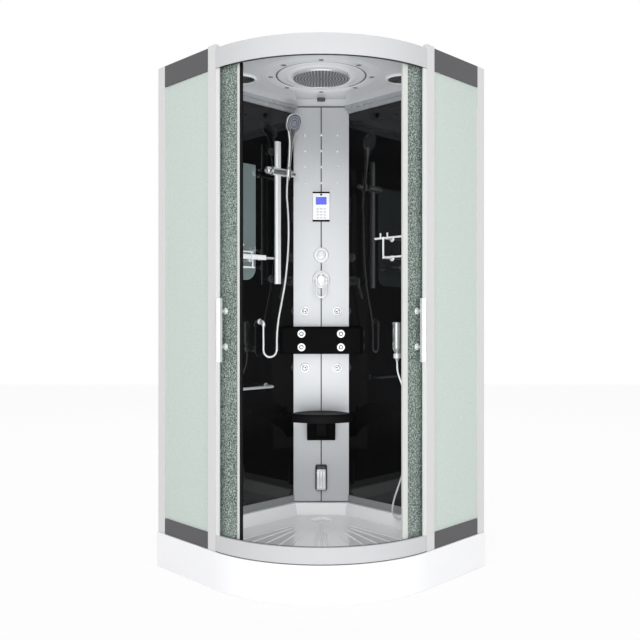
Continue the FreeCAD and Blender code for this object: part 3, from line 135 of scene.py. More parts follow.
CAMERA_DEPTH, CAMERA_Z = 4005, 1067.5
FILM_WIDTH, FOCAL_PX, IMAGE = 36, 766.4, 640
camera_data = bpy.data.cameras.new("camera")
camera_data.sensor_width = FILM_WIDTH
camera_data.lens = FILM_WIDTH * FOCAL_PX / IMAGE
camera_data.shift_x = -1.2 / IMAGE
camera_data.shift_y = -1.4 / IMAGE
camera = add("camera", camera_data)
camera.location = spot(0, CAMERA_DEPTH, CAMERA_Z) * MM
camera.rotation_euler = (radians(90), 0, 0)
bpy.context.scene.camera = camera

# Materials.


def tone(red, green, blue):
    """A colour as it shows on a screen, 0 to 255, as linear light."""
    def linear(value):
        share = value / 255
        return share / 12.92 if share <= 0.04045 else ((share + 0.055) / 1.055) ** 2.4

    return linear(red), linear(green), linear(blue), 1


def scaled(colour, factor):
    return tuple(min(1, channel * factor) for channel in colour[:3]) + (1,)


def join(tree, target, inputs):
    """Fill a node's inputs: an output is linked, and any other value is written."""
    for name, value in inputs.items():
        if isinstance(value, bpy.types.NodeSocket):
            tree.links.new(value, target.inputs[name])
        else:
            target.inputs[name].default_value = value


def node(tree, kind, inputs=(), **settings):
    """A new shader node with its settings and its inputs."""
    made = tree.nodes.new("ShaderNode" + kind)
    for name, value in settings.items():
        setattr(made, name, value)
    join(tree, made, dict(inputs))
    return made


class Finish:
    """A material with a noise that moves its colour, its roughness and its surface."""

    def __init__(self, name, colour, roughness, metallic=0, scale=60, stretch=(1, 1, 1),
            spread=0.05, rough_spread=0.06, bump=0.1, depth=0.2, fine=None, **sockets):
        self.material = bpy.data.materials.new(name)
        self.material.use_nodes = True
        self.tree = self.material.node_tree
        self.shader = self.tree.nodes["Principled BSDF"]
        factor = self.texture("TexNoise", scale, 4, stretch)
        low, high = max(0.01, roughness - rough_spread), min(1, roughness + rough_spread)
        pale = self.mix(factor, scaled(colour, 1 - spread), scaled(colour, 1 + spread))
        self.set(Metallic=metallic, Base_Color=pale, Roughness=self.between(factor, low, high),
            **sockets)
        if bump:
            self.bump(self.texture("TexNoise", fine, 2, stretch) if fine else factor, bump, depth)

    def node(self, kind, inputs=(), **settings):
        return node(self.tree, kind, inputs, **settings)

    def set(self, **values):
        join(self.tree, self.shader, {name.replace("_", " "): values[name] for name in values})

    def texture(self, kind, scale, detail, stretch=(1, 1, 1), output="Fac", **settings):
        place = self.node("TexCoord").outputs["Object"]
        place = self.node("Mapping", {"Scale": stretch, "Vector": place}).outputs["Vector"]
        inputs = {"Scale": scale, "Detail": detail, "Vector": place}
        return self.node(kind, inputs, **settings).outputs[output]

    def mix(self, factor, first, second):
        return self.node("Mix", {0: factor, 6: first, 7: second}, data_type="RGBA").outputs[2]

    def between(self, factor, low, high, start=0.3, end=0.7):
        return self.node("MapRange", {"Value": factor, "From Min": start, "From Max": end,
            "To Min": low, "To Max": high}).outputs["Result"]

    def bump(self, height, strength, depth):
        """Another relief on top of those that the surface has."""
        inputs = {"Strength": strength, "Distance": depth * MM, "Height": height}
        for kept in self.shader.inputs["Normal"].links:
            inputs["Normal"] = kept.from_socket
        self.set(Normal=self.node("Bump", inputs).outputs["Normal"])

    def let_light_through(self, share, tint=(1, 1, 1, 1)):
        """Shadow rays pass, so that panes don't turn the cabin into a dark box."""
        shadow = self.node("LightPath").outputs["Is Shadow Ray"]
        factor = self.node("Math", {0: shadow, 1: share}, operation="MULTIPLY").outputs[0]
        clear = self.node("BsdfTransparent", {"Color": tint}).outputs[0]
        blend = self.node("MixShader", {0: factor, 1: self.shader.outputs[0], 2: clear})
        join(self.tree, self.tree.nodes["Material Output"], {"Surface": blend.outputs[0]})
        return self.material


def look(name, colour, *more, **settings):
    return Finish(name, tone(*colour), *more, **settings).material


DRAWN = {"scale": 30, "stretch": (1, 1, 6), "fine": 900}
COAT = {"Coat_Weight": 0.6, "Coat_Roughness": 0.04}
ACRYLIC = look("acrylic", (243, 243, 245), 0.16, scale=9, spread=0.012, rough_spread=0.05,
    bump=0.06, depth=0.5, Coat_Weight=0.4, Coat_Roughness=0.05)
FRAME = look("satin_aluminium", (216, 216, 216), 0.36, 0.35, spread=0.02, bump=0.05, **DRAWN)
RAIL = look("rail_aluminium", (200, 201, 203), 0.55, 0.15, spread=0.02, bump=0.05, **DRAWN)
JAMB = look("jamb_aluminium", (224, 227, 226), 0.4, 0.2, spread=0.03, bump=0.06, **DRAWN)
CORNICE = look("cornice_grey", (165, 168, 172), 0.3, scale=8, spread=0.02, bump=0.03)
DARK_RAIL = look("dark_anodised", (84, 84, 86), 0.42, 0.3, scale=80, spread=0.08, bump=0.06,
    fine=1200)
BLACK_GLASS = look("black_glass", (13, 13, 14), 0.035, scale=3, rough_spread=0.015, bump=0.02,
    depth=0.3, IOR=1.56)
SEAL = look("seal", (206, 208, 203), 0.4, spread=0.03, fine=700, bump=0.08)
MAGNET = look("magnet_strip", (6, 6, 7), 0.6, scale=120, spread=0.1, Specular_IOR_Level=0.2)
ROOF = look("roof_plastic", (226, 228, 231), 0.14, scale=6, spread=0.008, rough_spread=0.03,
    bump=0.015)
ROOF_GROOVE = look("roof_groove", (96, 98, 100), 0.5)
COLUMN = look("brushed_aluminium", (208, 210, 213), 0.33, 0.5, scale=12, stretch=(0.6, 0.6, 90),
    spread=0.025, rough_spread=0.05, bump=0.06, depth=0.1, fine=18)
CHROME = look("chrome", (250, 251, 253), 0.09, 0.65, scale=24, spread=0.02, rough_spread=0.03,
    bump=0.02, **COAT)
BRIGHT = look("bright_chrome", (247, 248, 250), 0.12, 0.4, scale=40, spread=0.01, bump=0.02, **COAT)
POLISHED = look("polished_chrome", (248, 249, 251), 0.1, 0.9, scale=24, spread=0.02,
    rough_spread=0.03, bump=0.015)
JET_WHITE = look("jet_chrome", (252, 252, 253), 0.12, 0.1, scale=40, spread=0.01, bump=0.02,
    Coat_Weight=0.5, Coat_Roughness=0.04)
SATIN_CHROME = look("satin_chrome", (222, 224, 228), 0.24, 0.5, spread=0.03, bump=0.05)
DARK_CHROME = look("dark_chrome", (84, 86, 90), 0.2, 0.6, spread=0.06, bump=0.05)
SILL = look("sill_aluminium", (150, 152, 154), 0.38, 0.4, spread=0.03, bump=0.05, **DRAWN)
FACE_GREY = look("spray_face", (150, 154, 166), 0.3, 0.2, scale=160, bump=0.08)
WHITE_PLASTIC = look("white_plastic", (236, 237, 239), 0.22, scale=40, spread=0.015, bump=0.04,
    fine=900)
KEY_GREY = look("key_grey", (196, 199, 203), 0.35, scale=200, spread=0.03, bump=0.06)
GRILLE = look("grille_grey", (74, 76, 79), 0.42, scale=150, spread=0.08)
RUBBER_DOT = look("nozzle_rubber", (168, 170, 173), 0.5, scale=300, spread=0.08)
BLACK_PLASTIC = look("black_plastic", (9, 9, 10), 0.5, scale=90, spread=0.1, bump=0.16, depth=0.12,
    fine=1500, Specular_IOR_Level=0.06)
BLACK_PAD = look("black_pad", (12, 12, 13), 0.62, scale=50, spread=0.1, bump=0.35, depth=0.25,
    fine=1100, Specular_IOR_Level=0.02)
STEEL = look("galvanised_steel", (150, 153, 157), 0.38, 0.85, scale=70, spread=0.14,
    rough_spread=0.12, bump=0.08)
PIPE = look("pipe_plastic", (198, 199, 200), 0.42, spread=0.03, bump=0.08)
HOSE = look("hose_metal", (238, 240, 243), 0.16, 0.5, scale=150, spread=0.04, bump=0.05)
SCREEN = look("screen", (84, 94, 214), 0.12, scale=500, spread=0.06, bump=0.02,
    Emission_Color=tone(84, 94, 214), Emission_Strength=0.25)
LAMP = look("lamp_lens", (118, 120, 124), 0.25, scale=200, bump=0.2, fine=400)
# Dark grey for the column spine, and painted shade for the thin dark lines where the rails and the
# column meet their neighbours.
SPINE_AND_SHADE_GREY = look("dark_spine_and_painted_shade", (52, 53, 55), 0.6, scale=90, spread=0.08)


def make_side_glass():
    """Milky glass with a fine frost."""
    finish = Finish("frosted_glass", tone(201, 211, 206), 0.42, scale=5, spread=0.03,
        rough_spread=0.05, bump=0.25, depth=0.4, fine=420, Specular_IOR_Level=0.45)
    grain = finish.between(finish.texture("TexNoise", 330, 3), 0.0, 1.0, 0.35, 0.65)
    finish.set(Base_Color=finish.mix(grain, tone(188, 199, 193), tone(206, 216, 211)))
    return finish.let_light_through(0.55, (0.9, 0.95, 0.92, 1))


def make_door_glass():
    """Clear glass with a rough rolled pattern of grains a few millimetres wide."""
    finish = Finish("patterned_glass", tone(160, 174, 167), 0.14, scale=8, spread=0.04, bump=0,
        IOR=1.45)
    cells = finish.texture("TexVoronoi", 190, 0, output="Distance", feature="SMOOTH_F1")
    ripple = finish.texture("TexNoise", 180, 3)
    grain = finish.between(ripple, 0.25, 0.85, 0.38, 0.62)
    pale = finish.mix(grain, tone(198, 212, 205), tone(88, 102, 96))
    finish.set(Transmission_Weight=grain, Base_Color=pale)
    finish.bump(cells, 0.6, 1.4)
    finish.bump(ripple, 0.4, 1.0)
    return finish.let_light_through(0.75, (0.85, 0.92, 0.88, 1))


SIDE_GLASS = make_side_glass()
DOOR_GLASS = make_door_glass()
CLEAR_GLASS = Finish("clear_glass", tone(196, 216, 208), 0.03, scale=6, spread=0.01,
    rough_spread=0.01, bump=0.01, IOR=1.5, Transmission_Weight=0.85).let_light_through(0.8)
# Silvered glass whose grey-green base colour is a painted reflection; it shows where the dark walls
# stand opposite.
MIRROR = look("mirror", (118, 131, 132), 0.3, scale=3, spread=0.06, rough_spread=0.03, bump=0.01,
    IOR=1.6, Coat_Weight=1, Coat_Roughness=0.03, Coat_IOR=3.2)

# Modelling helpers.


def eased(points, radius, steps=3):
    """Round the inner corners of a line of 2-D points."""
    line = [Vector(point) for point in points]
    result = [line[0]]
    for before, corner, after in zip(line, line[1:], line[2:]):
        back, forth = before - corner, after - corner
        reach = min(radius, 0.45 * back.length, 0.45 * forth.length)
        start = corner + back.normalized() * reach
        end = corner + forth.normalized() * reach
        for step in range(steps + 1):
            t = step / steps
            result.append(start * (1 - t) ** 2 + corner * 2 * t * (1 - t) + end * t ** 2)
    result.append(line[-1])
    return result


def rounded_outline(half_x, half_y, radius, steps=6, centre=(0, 0)):
    """The outline of a rectangle with round corners, anticlockwise."""
    outline = []
    for quarter, (side_x, side_y) in enumerate(((1, -1), (1, 1), (-1, 1), (-1, -1))):
        middle = Vector((side_x * (half_x - radius), side_y * (half_y - radius)))
        for step in range(steps + 1):
            angle = radians(-90 + 90 * quarter + 90 * step / steps)
            point = middle + Vector((cos(angle), sin(angle))) * radius
            outline.append(point + Vector(centre))
    return outline


class Form:
    """A mesh under construction, from turned, pushed and swept shapes."""

    def __init__(self):
        self.bm = bmesh.new()
        self.paint = 0

    def face(self, corners):
        distinct = list(dict.fromkeys(corners))
        if len(distinct) > 2:
            self.bm.faces.new(distinct).material_index = self.paint

    def ring(self, points, place=WORLD):
        return [self.bm.verts.new(place @ Vector(point)) for point in points]

    def bridge(self, rings, closed=False):
        pairs = list(zip(rings, rings[1:]))
        if closed:
            pairs.append((rings[-1], rings[0]))
        for low, high in pairs:
            count = max(len(low), len(high))
            for index in range(count):
                after = (index + 1) % count
                self.face([low[index % len(low)], low[after % len(low)], high[after % len(high)],
                    high[index % len(high)]])

    def skin(self, rings):
        """Bridge the rings and close both ends."""
        self.bridge(rings)
        self.face(rings[0])
        self.face(rings[-1])

    def turn(self, profile, place, steps, ease=0, closed=False):
        """A turned form about the placing matrix's Z, from (radius, height) points."""
        rings = []
        for radius, height in eased(profile, ease) if ease else profile:
            count = steps if radius > TINY else 1
            rings.append(self.ring([around(radius, step / count, height) for step in range(count)],
                place))
        self.bridge(rings, closed)

    def turned(self, place, *rows):
        """Turned forms, one to a row: paint, easing of its corners, steps and profile."""
        for self.paint, ease, steps, profile in rows:
            self.turn(profile, place, steps, ease)

    def circle(self, profile, radius, count, height, place, steps, first=0):
        """Small turned forms, evenly spaced on a circle."""
        for step in range(count):
            centre = around(radius, (step + first) / count, height)
            self.turn(profile, place @ Matrix.Translation(centre), steps)

    def layer(self, outlines, place):
        """Skin a stack of outlines of equal length, each with its height."""
        self.skin([self.ring([(point[0], point[1], height) for point in outline], place)
            for outline, height in outlines])

    def push(self, outline, low, high, place, bevel=1.0, segments=2, both=True):
        """A prism on an outline, with eased edges; its foot stays sharp unless both are wanted."""
        part = bmesh.new()
        base = part.faces.new([part.verts.new((point[0], point[1], low)) for point in outline])
        grown = bmesh.ops.extrude_face_region(part, geom=[base])
        raised = [item for item in grown["geom"] if isinstance(item, bmesh.types.BMVert)]
        bmesh.ops.translate(part, verts=raised, vec=(0, 0, high - low))
        bmesh.ops.recalc_face_normals(part, faces=part.faces)
        sharp = [edge for edge in part.edges if edge.calc_face_angle(0) > radians(40)
            and (both or max(vert.co.z for vert in edge.verts) > low + TINY)]
        bmesh.ops.bevel(part, geom=sharp, offset=bevel, segments=segments, profile=0.6,
            affect="EDGES", clamp_overlap=True)
        self.absorb(part, place)

    def slab(self, x_from, x_to, y_from, y_to, low, high, place, bevel=1.0, segments=2):
        outline = [(x_from, y_from), (x_to, y_from), (x_to, y_to), (x_from, y_to)]
        self.push(outline, low, high, place, bevel, segments)

    def bend(self, low_radius, high_radius, low, high, end=43.8, steps=72):
        """A bar bent about the axis of the front arc, between the front posts."""
        section = ((low_radius, low), (high_radius, low), (high_radius, high), (low_radius, high))
        self.skin([self.ring([on_arc(radius, -end + 2 * end * step / steps, z) for radius,
            z in section]) for step in range(steps + 1)])

    def absorb(self, part, place):
        part.transform(place)
        for face in part.faces:
            face.material_index = self.paint
        mesh = bpy.data.meshes.new("part")
        part.to_mesh(mesh)
        part.free()
        self.bm.from_mesh(mesh)
        bpy.data.meshes.remove(mesh)

    def sweep(self, points, radii, steps, place=WORLD):
        """A round bar along points; radii is one radius or a list of one per point."""
        points = [Vector(point) for point in points]
        if not isinstance(radii, list):
            radii = [radii] * len(points)
        rings = []
        side = None
        neighbours = zip(points[:1] + points, points[1:] + points[-1:])
        for point, radius, (before, after) in zip(points, radii, neighbours):
            along = (after - before).normalized()
            side = (side or along.orthogonal()).normalized()
            side = (side - along * side.dot(along)).normalized()
            other = along.cross(side)
            rings.append(self.ring([point + (side * cos(turn) + other * sin(turn)) * radius
                for turn in (2 * pi * step / steps for step in range(steps))], place))
        self.skin(rings)

    def ball(self, radius, point, steps=20):
        arc = [pi * step / 12 for step in range(13)]
        self.turn([(radius * sin(turn), -radius * cos(turn)) for turn in arc],
            stand(point, UP, BACK), steps)

    def finish(self, name, materials, slot, body="root", replaces=(), angle=38):
        bmesh.ops.recalc_face_normals(self.bm, faces=self.bm.faces)
        mesh = bpy.data.meshes.new(name)
        self.bm.to_mesh(mesh)
        self.bm.free()
        return dress(mesh, name, materials, body, replaces, angle)

    def replace(self, node, *materials):
        """Finish the form as the piece that takes a CAD node's place."""
        self.finish(node + "_form", materials, SLOTS[node], NODES[node]["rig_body"], [node])


def dress(mesh, name, materials, body, replaces, angle, weighted=False):
    """Smooth a mesh, give it its materials and hang it on its body."""
    for material in materials if isinstance(materials, (list, tuple)) else [materials]:
        mesh.materials.append(material)
    mesh.shade_smooth()
    mesh.set_sharp_from_angle(angle=radians(angle))
    piece = add(name, mesh)
    if weighted:
        # Wide faces shade flat, and only the eased edges turn the light.
        level = piece.modifiers.new("flat_faces", "WEIGHTED_NORMAL")
        level.keep_sharp = True
        level.weight = 100
    if body:
        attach(piece, body)
    if replaces:
        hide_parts(*replaces)
    return piece


def refined(node, materials, bevel, segments=2, choose=None):
    """The CAD solid's own shape with clean faces and eased edges."""
    form = bmesh.new()
    form.from_mesh(NODES[node].data)
    bmesh.ops.remove_doubles(form, verts=form.verts, dist=2e-6)
    bmesh.ops.dissolve_limit(form, angle_limit=radians(0.6), verts=form.verts, edges=form.edges,
        delimit={"NORMAL"})
    sharp = [edge for edge in form.edges if edge.is_manifold
        and edge.calc_face_angle(0) > radians(25)]
    bmesh.ops.bevel(form, geom=sharp, offset=bevel * MM, segments=segments, profile=0.55,
        affect="EDGES", clamp_overlap=True)
    if choose:
        for face in form.faces:
            face.material_index = choose(face.calc_center_median() / MM)
    name = node + "_form"
    mesh = bpy.data.meshes.new(name)
    form.to_mesh(mesh)
    form.free()
    if "custom_normal" in mesh.attributes:
        mesh.attributes.remove(mesh.attributes["custom_normal"])
    dress(mesh, name, materials, NODES[node]["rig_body"], [node], 30, True)


def keep(node, material):
    """A CAD solid whose own shape shows."""
    slots = NODES[node].data.materials
    slots.clear()
    slots.append(material)


# Hoses, as routes of (a, b, z) in the room.

SHOWER_ROUTE = [
    (47.5, 438.5, 1028), (47.5, 438.5, 990), (48.1, 438.5, 945), (47.5, 438.5, 907),
    (51.2, 425.6, 888.5), (57.2, 404.6, 881.4), (63.2, 383.7, 888.5), (67, 370.8, 907),
    (67.8, 370.6, 941), (68.6, 371.5, 988),
    (69, 362, 1062), (69, 341, 1145), (69, 322, 1220), (69, 307, 1310), (69, 297, 1410),
    (69, 294, 1515), (66, 297, 1610), (56.45, 298, 1685.68), (64.8, 298, 1745.09),
]
SPRAY_ROUTE = [
    (684, 66, 585), (684, 66, 545), (683.5, 68.5, 475), (678, 73, 390), (670, 80, 310),
    (658, 85, 240), (642, 88, 198), (622, 91, 160), (597, 92, 143.5), (570, 92, 150),
    (556.5, 92, 175), (562, 92, 218), (588, 91, 286), (618, 89, 360), (636, 86, 450),
    (638, 80, 548), (631, 75, 640), (618, 71, 710), (598, 68, 760), (578, 66.5, 796),
    (565, 66, 832), (565, 66, 870),
]
SHOWER_HOSE_RADIUS = 5
SPRAY_HOSE_RADIUS = 4.5
HOSE_SPLIT_Z = 1655


def follow(name, route):
    """Points along the smooth curve of a hose's route, in metres."""
    curve = bpy.data.curves.new(name, "CURVE")
    curve.dimensions = "3D"
    spline = curve.splines.new("NURBS")
    spline.points.add(len(route) - 1)
    for point, place in zip(spline.points, route):
        point.co = (*(room(*place) * MM), 1)
    spline.order_u = 3
    spline.use_endpoint_u = True
    spline.resolution_u = 26
    holder = add(name, curve)
    mesh = bpy.data.meshes.new_from_object(holder)
    points = [vertex.co.copy() for vertex in mesh.vertices]
    bpy.data.objects.remove(holder)
    bpy.data.meshes.remove(mesh)
    bpy.data.curves.remove(curve)
    return points


def hose_form(name, points, radius, body, replaces=()):
    """A hose wound of metal strip: its outside steps in and out along its length."""
    form = Form()
    radii = [radius * (1 if index % 2 else 0.9) for index in range(len(points))]
    radii[0] = radii[-1] = radius
    form.sweep([point / MM for point in points], radii, 14)
    return form.finish(name, HOSE, "hose_chrome", body, replaces, angle=60)


def make_hoses():
    points = follow("shower_route", SHOWER_ROUTE)
    split = next(index for index, point in enumerate(points) if index > len(points) / 2
        and point.z > HOSE_SPLIT_Z * MM)
    lower, upper = points[:split + 1], points[split:]
    hose = hose_form("shower_hose_lower", lower, SHOWER_HOSE_RADIUS, None, ["shower_hose"])
    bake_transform(hose)
    tail = hose_form("shower_hose_upper", upper, SHOWER_HOSE_RADIUS, None)
    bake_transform(tail)

    points = follow("spray_route", SPRAY_ROUTE)
    hose = hose_form("spray_hose_form", points, SPRAY_HOSE_RADIUS, "root", ["spray_hose"])


make_hoses()

# Tray, and the pieces that show the CAD solid's own form.

FLOOR_Z = 95
RIB_HEIGHT, RIB_REACH = 3.4, 470


def make_tray():
    refined("tray", ACRYLIC, 3.5, 3)
    ribs = Form()
    centre = spot(0, 265, FLOOR_Z)
    for side in (-1, 1):
        for angle, start_radius, half in ((44, 196, 7), (37, 222, 7), (30, 240, 7), (22.5, 276, 7),
                (14.5, 338, 6)):
            way = Vector((side * sin(radians(angle)), -cos(radians(angle)), 0))
            end_radius = start_radius
            while (centre + way * end_radius - on_arc(0, 0, FLOOR_Z)).length < RIB_REACH:
                end_radius += 2
            place = stand(centre + way * ((start_radius + end_radius) / 2), UP, way)
            rib_layers(ribs, half, (end_radius - start_radius) / 2, place)
    for x in (-21, 0, 21):
        rib_layers(ribs, 6, 270 - abs(x) * 1.4, stand(spot(x, 770, FLOOR_Z), UP, FRONT))
    ribs.finish("tray_ribs", ACRYLIC, "tray_acrylic")


def rib_layers(form, half_width, half_length, place):
    """A low round-topped rib, tapered to its ends."""
    stack = []
    for share, level in ((1, -0.5), (1, 0.3), (0.86, 0.62), (0.62, 0.88), (0.3, 1)):
        inset = half_width * (1 - share)
        stack.append((rounded_outline(half_width - inset, half_length - 3 * inset,
            (half_width - inset) * 0.98, 5), RIB_HEIGHT * level))
    form.layer(stack, place)


def make_drain():
    form = Form()
    base = stand(spot(0, 300, FLOOR_Z), UP, BACK)
    form.turn([(0, -8), (40, -8), (40, -0.2), (49, -0.2), (49, 1.2), (45, 2.0), (40, 3.4),
        (22, 5.4), (9, 6.0), (8, 5.2), (0, 5.2)], base, 48, 1.5)
    form.replace("drain_cover", CHROME)


make_tray()
make_drain()
for node_name, finish_material, ease in (
        ("drain_trap", PIPE, 1.5), ("support_bars", STEEL, 1.5), ("feet", STEEL, 0.8),
        ("steam_generator", STEEL, 3), ("side_rails", DARK_RAIL, 1),
        ("front_posts", FRAME, 2), ("door_jambs", JAMB, 1), ("top_rail", RAIL, 1.2),
        ("bottom_rail", RAIL, 1.5), ("column_right", COLUMN, 0.8), ("column_left", COLUMN, 0.8),
        ("seat_bracket", BLACK_PLASTIC, 1.2), ("slider", POLISHED, 1),
        ("handset_holder", POLISHED, 1), ("mirror", MIRROR, 0.8),
        *((f"door_hangers_{side}", PIPE, 0.5) for side in SIDES),
        *((f"door_roller_{side}_{end}", PIPE, 0.5) for side in SIDES for end in ("front", "rear")),
        ("fan_rotor", BLACK_PLASTIC, 0.3)):
    refined(node_name, finish_material, ease)
for node_name, finish_material in (("wall_panel_right", BLACK_GLASS),
        ("wall_panel_left", BLACK_GLASS), ("side_glass", SIDE_GLASS),
        ("door_glass_right", DOOR_GLASS), ("door_glass_left", DOOR_GLASS),
        ("column_spine", SPINE_AND_SHADE_GREY)):
    keep(node_name, finish_material)


def off_the_bar(point):
    """1 on the brackets that carry the slide bar, 0 on the bar."""
    wall_distance = (CORNER_Y - point.y + point.x) / sqrt(2)
    return 1 if wall_distance < 56 else 0


def low_down(point):
    """1 on the sills along the walls, 0 on the tall profiles."""
    return 1 if point.z < 190 and abs(point.x) < 640 else 0


refined("slide_bar", [BRIGHT, DARK_CHROME], 0.8, choose=off_the_bar)
refined("wall_profiles", [FRAME, SILL], 1.2, choose=low_down)

# Doors and the curved rails.


def strip_index(point):
    """1 on the black magnetic strip, 0 on the clear seal."""
    angle = degrees(atan2(abs(point.x), ARC_Y - point.y))
    return 1 if angle < 33.0 else 0


refined("door_seal_right", SEAL, 0.8)
refined("door_seal_left", [SEAL, MAGNET], 0.6, choose=strip_index)
for side_name in SIDES:
    refined(f"door_handle_{side_name}", CHROME, 1.5, 3)

HANDLE_STUDS_Z = (957, 1097)
HANDLE_ANGLE = 40.6
GLASS_RADIUS = 577.6


def make_rosettes():
    """Round washers under the handle studs, on the outside of the glass."""
    for side, sign in (("right", 1), ("left", -1)):
        form = Form()
        for z in HANDLE_STUDS_Z:
            centre = on_arc(GLASS_RADIUS, HANDLE_ANGLE * sign, z)
            out = centre - on_arc(0, 0, z)
            form.turn([(6.5, 0), (14, 0), (14, 2.4), (11, 4.4), (6.5, 5)], stand(centre, out), 36,
                1, closed=True)
        form.finish(f"handle_rosettes_{side}", CHROME, "chrome", f"door_{side}")


def make_rail_shade_lines():
    """Painted shade: thin dark lines along the curved rails, where they meet the tray, the basin
    and the roof.
    """
    form = Form()
    form.bend(598.8, 600.4, 150.2, 152.6)
    form.bend(585.5, 588.4, 214.2, 215.5)
    form.bend(587.6, 600.3, 2051.6, 2052.6)
    form.finish("rail_shade_lines", SPINE_AND_SHADE_GREY, "black_plastic")


make_rosettes()
make_rail_shade_lines()

# Roof and ceiling.

CEILING_Z = 2130
RAIN_DEPTH = 642
LAMP_RADIUS = 222
FAN_X, FAN_DEPTH = 352, 612
SENSOR_DEPTH = 319


def ceiling(x, depth):
    """A frame under the ceiling that points down."""
    return stand(spot(x, depth, CEILING_Z), DOWN, BACK)


def below_plate(point):
    """1 on the cornice under the roof plate, 0 on the plate."""
    return 1 if point.z < CEILING_Z - 1 else 0


def make_ceiling():
    refined("roof", [ROOF, CORNICE], 2.5, 3, choose=below_plate)
    form = Form()
    centre = ceiling(0, RAIN_DEPTH)
    form.turn([(129, -0.5), (129, 5), (150, 5), (158, 2.6), (186, 2.6), (192, -0.5)], centre, 96, 2)
    form.turn([(199, -0.5), (201, 3.0), (243, 3.0), (249, 1.2), (262, 1.2), (266, -0.5)], centre,
        96, 1.5)
    form.push([(-132, -232), (132, -232), (120, 108), (-120, 108)], -0.5, 1.6, ceiling(0, 404), 1.2)
    form.paint = 1
    form.turn([(192, -0.3), (192, 0.6), (199, 0.6), (199, -0.3)], centre, 96)
    form.finish("ceiling_relief", [ROOF, ROOF_GROOVE], "roof_plastic")

    lights = Form()
    for step in range(8):
        angle = radians(step * 45)
        place = ceiling(LAMP_RADIUS * sin(angle), RAIN_DEPTH + LAMP_RADIUS * cos(angle))
        lights.paint = 1
        lights.turn([(0, 0), (15, 0), (15, 2.2), (14.4, 3.4), (13.8, 3.4), (13.6, 2.6)], place, 32,
            0.4)
        lights.paint = 0
        lights.turn([(13.6, 2.6), (8, 3.4), (0, 3.7)], place, 32)
    place = ceiling(0, SENSOR_DEPTH)
    half, radius = 11, 9
    rim = [(side * half, radians(first + 18 * step)) for side, first in ((1, -90), (-1, 90))
        for step in range(11)]
    stack = []
    for share, level in ((1, 0), (1, 14.5), (0.93, 17), (0.8, 18)):
        reach = radius * share
        stack.append(([(x + reach * cos(turn), reach * sin(turn)) for x, turn in rim], level))
    lights.paint = 2
    lights.layer(stack, place)
    lights.paint = 0
    lights.turn([(0, 17.4), (6.4, 17.4), (6.4, 18.1), (0, 18.3)], place, 24, 0.5)
    lights.replace("ceiling_lights", LAMP, SATIN_CHROME, GRILLE)


def make_rain_head():
    form = Form()
    place = ceiling(0, RAIN_DEPTH)
    form.turn([(0, 0), (124, 0), (126, 2), (126, 9), (124.5, 12.6), (122.5, 14), (120.5, 13.4),
        (120, 11)], place, 96, 1)
    form.paint = 1
    form.turn([(120, 11), (60, 11.6), (0, 12)], place, 96)
    form.paint = 2
    nozzle = [(3.2, 0), (2.4, 1.8), (1.4, 2.4), (0, 1.6)]
    for ring in range(1, 9):
        form.circle(nozzle, 13.8 * ring, 6 * ring, 11, place, 8, 0.5 * (ring % 2))
    form.replace("rain_head", CHROME, GRILLE, RUBBER_DOT)


def make_round_grilles():
    for name, solid, x in (("fan", "fan_grille", FAN_X), ("loudspeaker", "speaker", -FAN_X)):
        form = Form()
        place = ceiling(x, FAN_DEPTH)
        form.turn([(57, -0.5), (68, -0.5), (68, 3), (66, 6.5), (61, 8), (57.5, 7), (56, 4.5),
            (56, -0.5)], place, 64, 1.5, closed=True)
        form.paint = 1
        for radius in (10, 18, 26, 34, 42, 50):
            form.turn([(radius - 1.6, 3.2), (radius + 1.6, 3.2), (radius + 1.2, 5.2),
                (radius - 1.2, 5.2)], place, 48, closed=True)
        for step in range(6):
            spoke = place @ spin(60 * step + 30)
            form.slab(3, 56.5, -1.3, 1.3, 1.4, 4.4, spoke, 0.3, 1)
        form.turn([(0, 1.5), (9, 1.5), (9, 5), (6, 6.2), (0, 6.4)], place, 24, 0.8)
        if name == "fan":
            form.turn([(56, -19), (59, -19), (59, -0.2), (56, -0.2)], place, 64, closed=True)
            for step in range(3):
                spoke = place @ spin(120 * step)
                form.slab(0, 57, -2.5, 2.5, -3, -0.2, spoke, 0.4, 1)
            form.turn([(0, -19), (3, -19), (3, -0.5), (0, -0.5)], place, 16, 0.5)
        else:
            form.paint = 2
            form.turn([(56, 0.1), (44, 0.5), (24, 1.2), (0, 1.6)], place, 48)
        form.finish(f"{name}_face", [WHITE_PLASTIC, GRILLE, BLACK_PLASTIC], "grille_grey", "root",
            [solid])


make_ceiling()
make_rain_head()
make_round_grilles()

# Column and its fittings.

COLUMN_FACE, BACKREST_FACE = 167, 240
JET_X = 81
DIVERTER_Z, MIXER_Z = 1385, 1263
PANEL_Z, OUTLET_Z, BACKREST_Z = 1627, 275, 893


def on_column(x, z, out=0):
    """A frame on the column's front: X to the right, Y up, Z towards the user."""
    return stand(spot(x, COLUMN_FACE + out, z), FRONT)


def make_column_shade_lines():
    """Painted shade: thin dark lines where the column meets the ceiling and the tray."""
    form = Form()
    for foot, head in ((2124.5, 2129.5), (150.5, 154)):
        form.slab(-136.5, 136.5, foot, head, -0.4, 0.8, on_column(0, 0), 0.3, 1)
    form.finish("column_shade_lines", SPINE_AND_SHADE_GREY, "black_plastic")


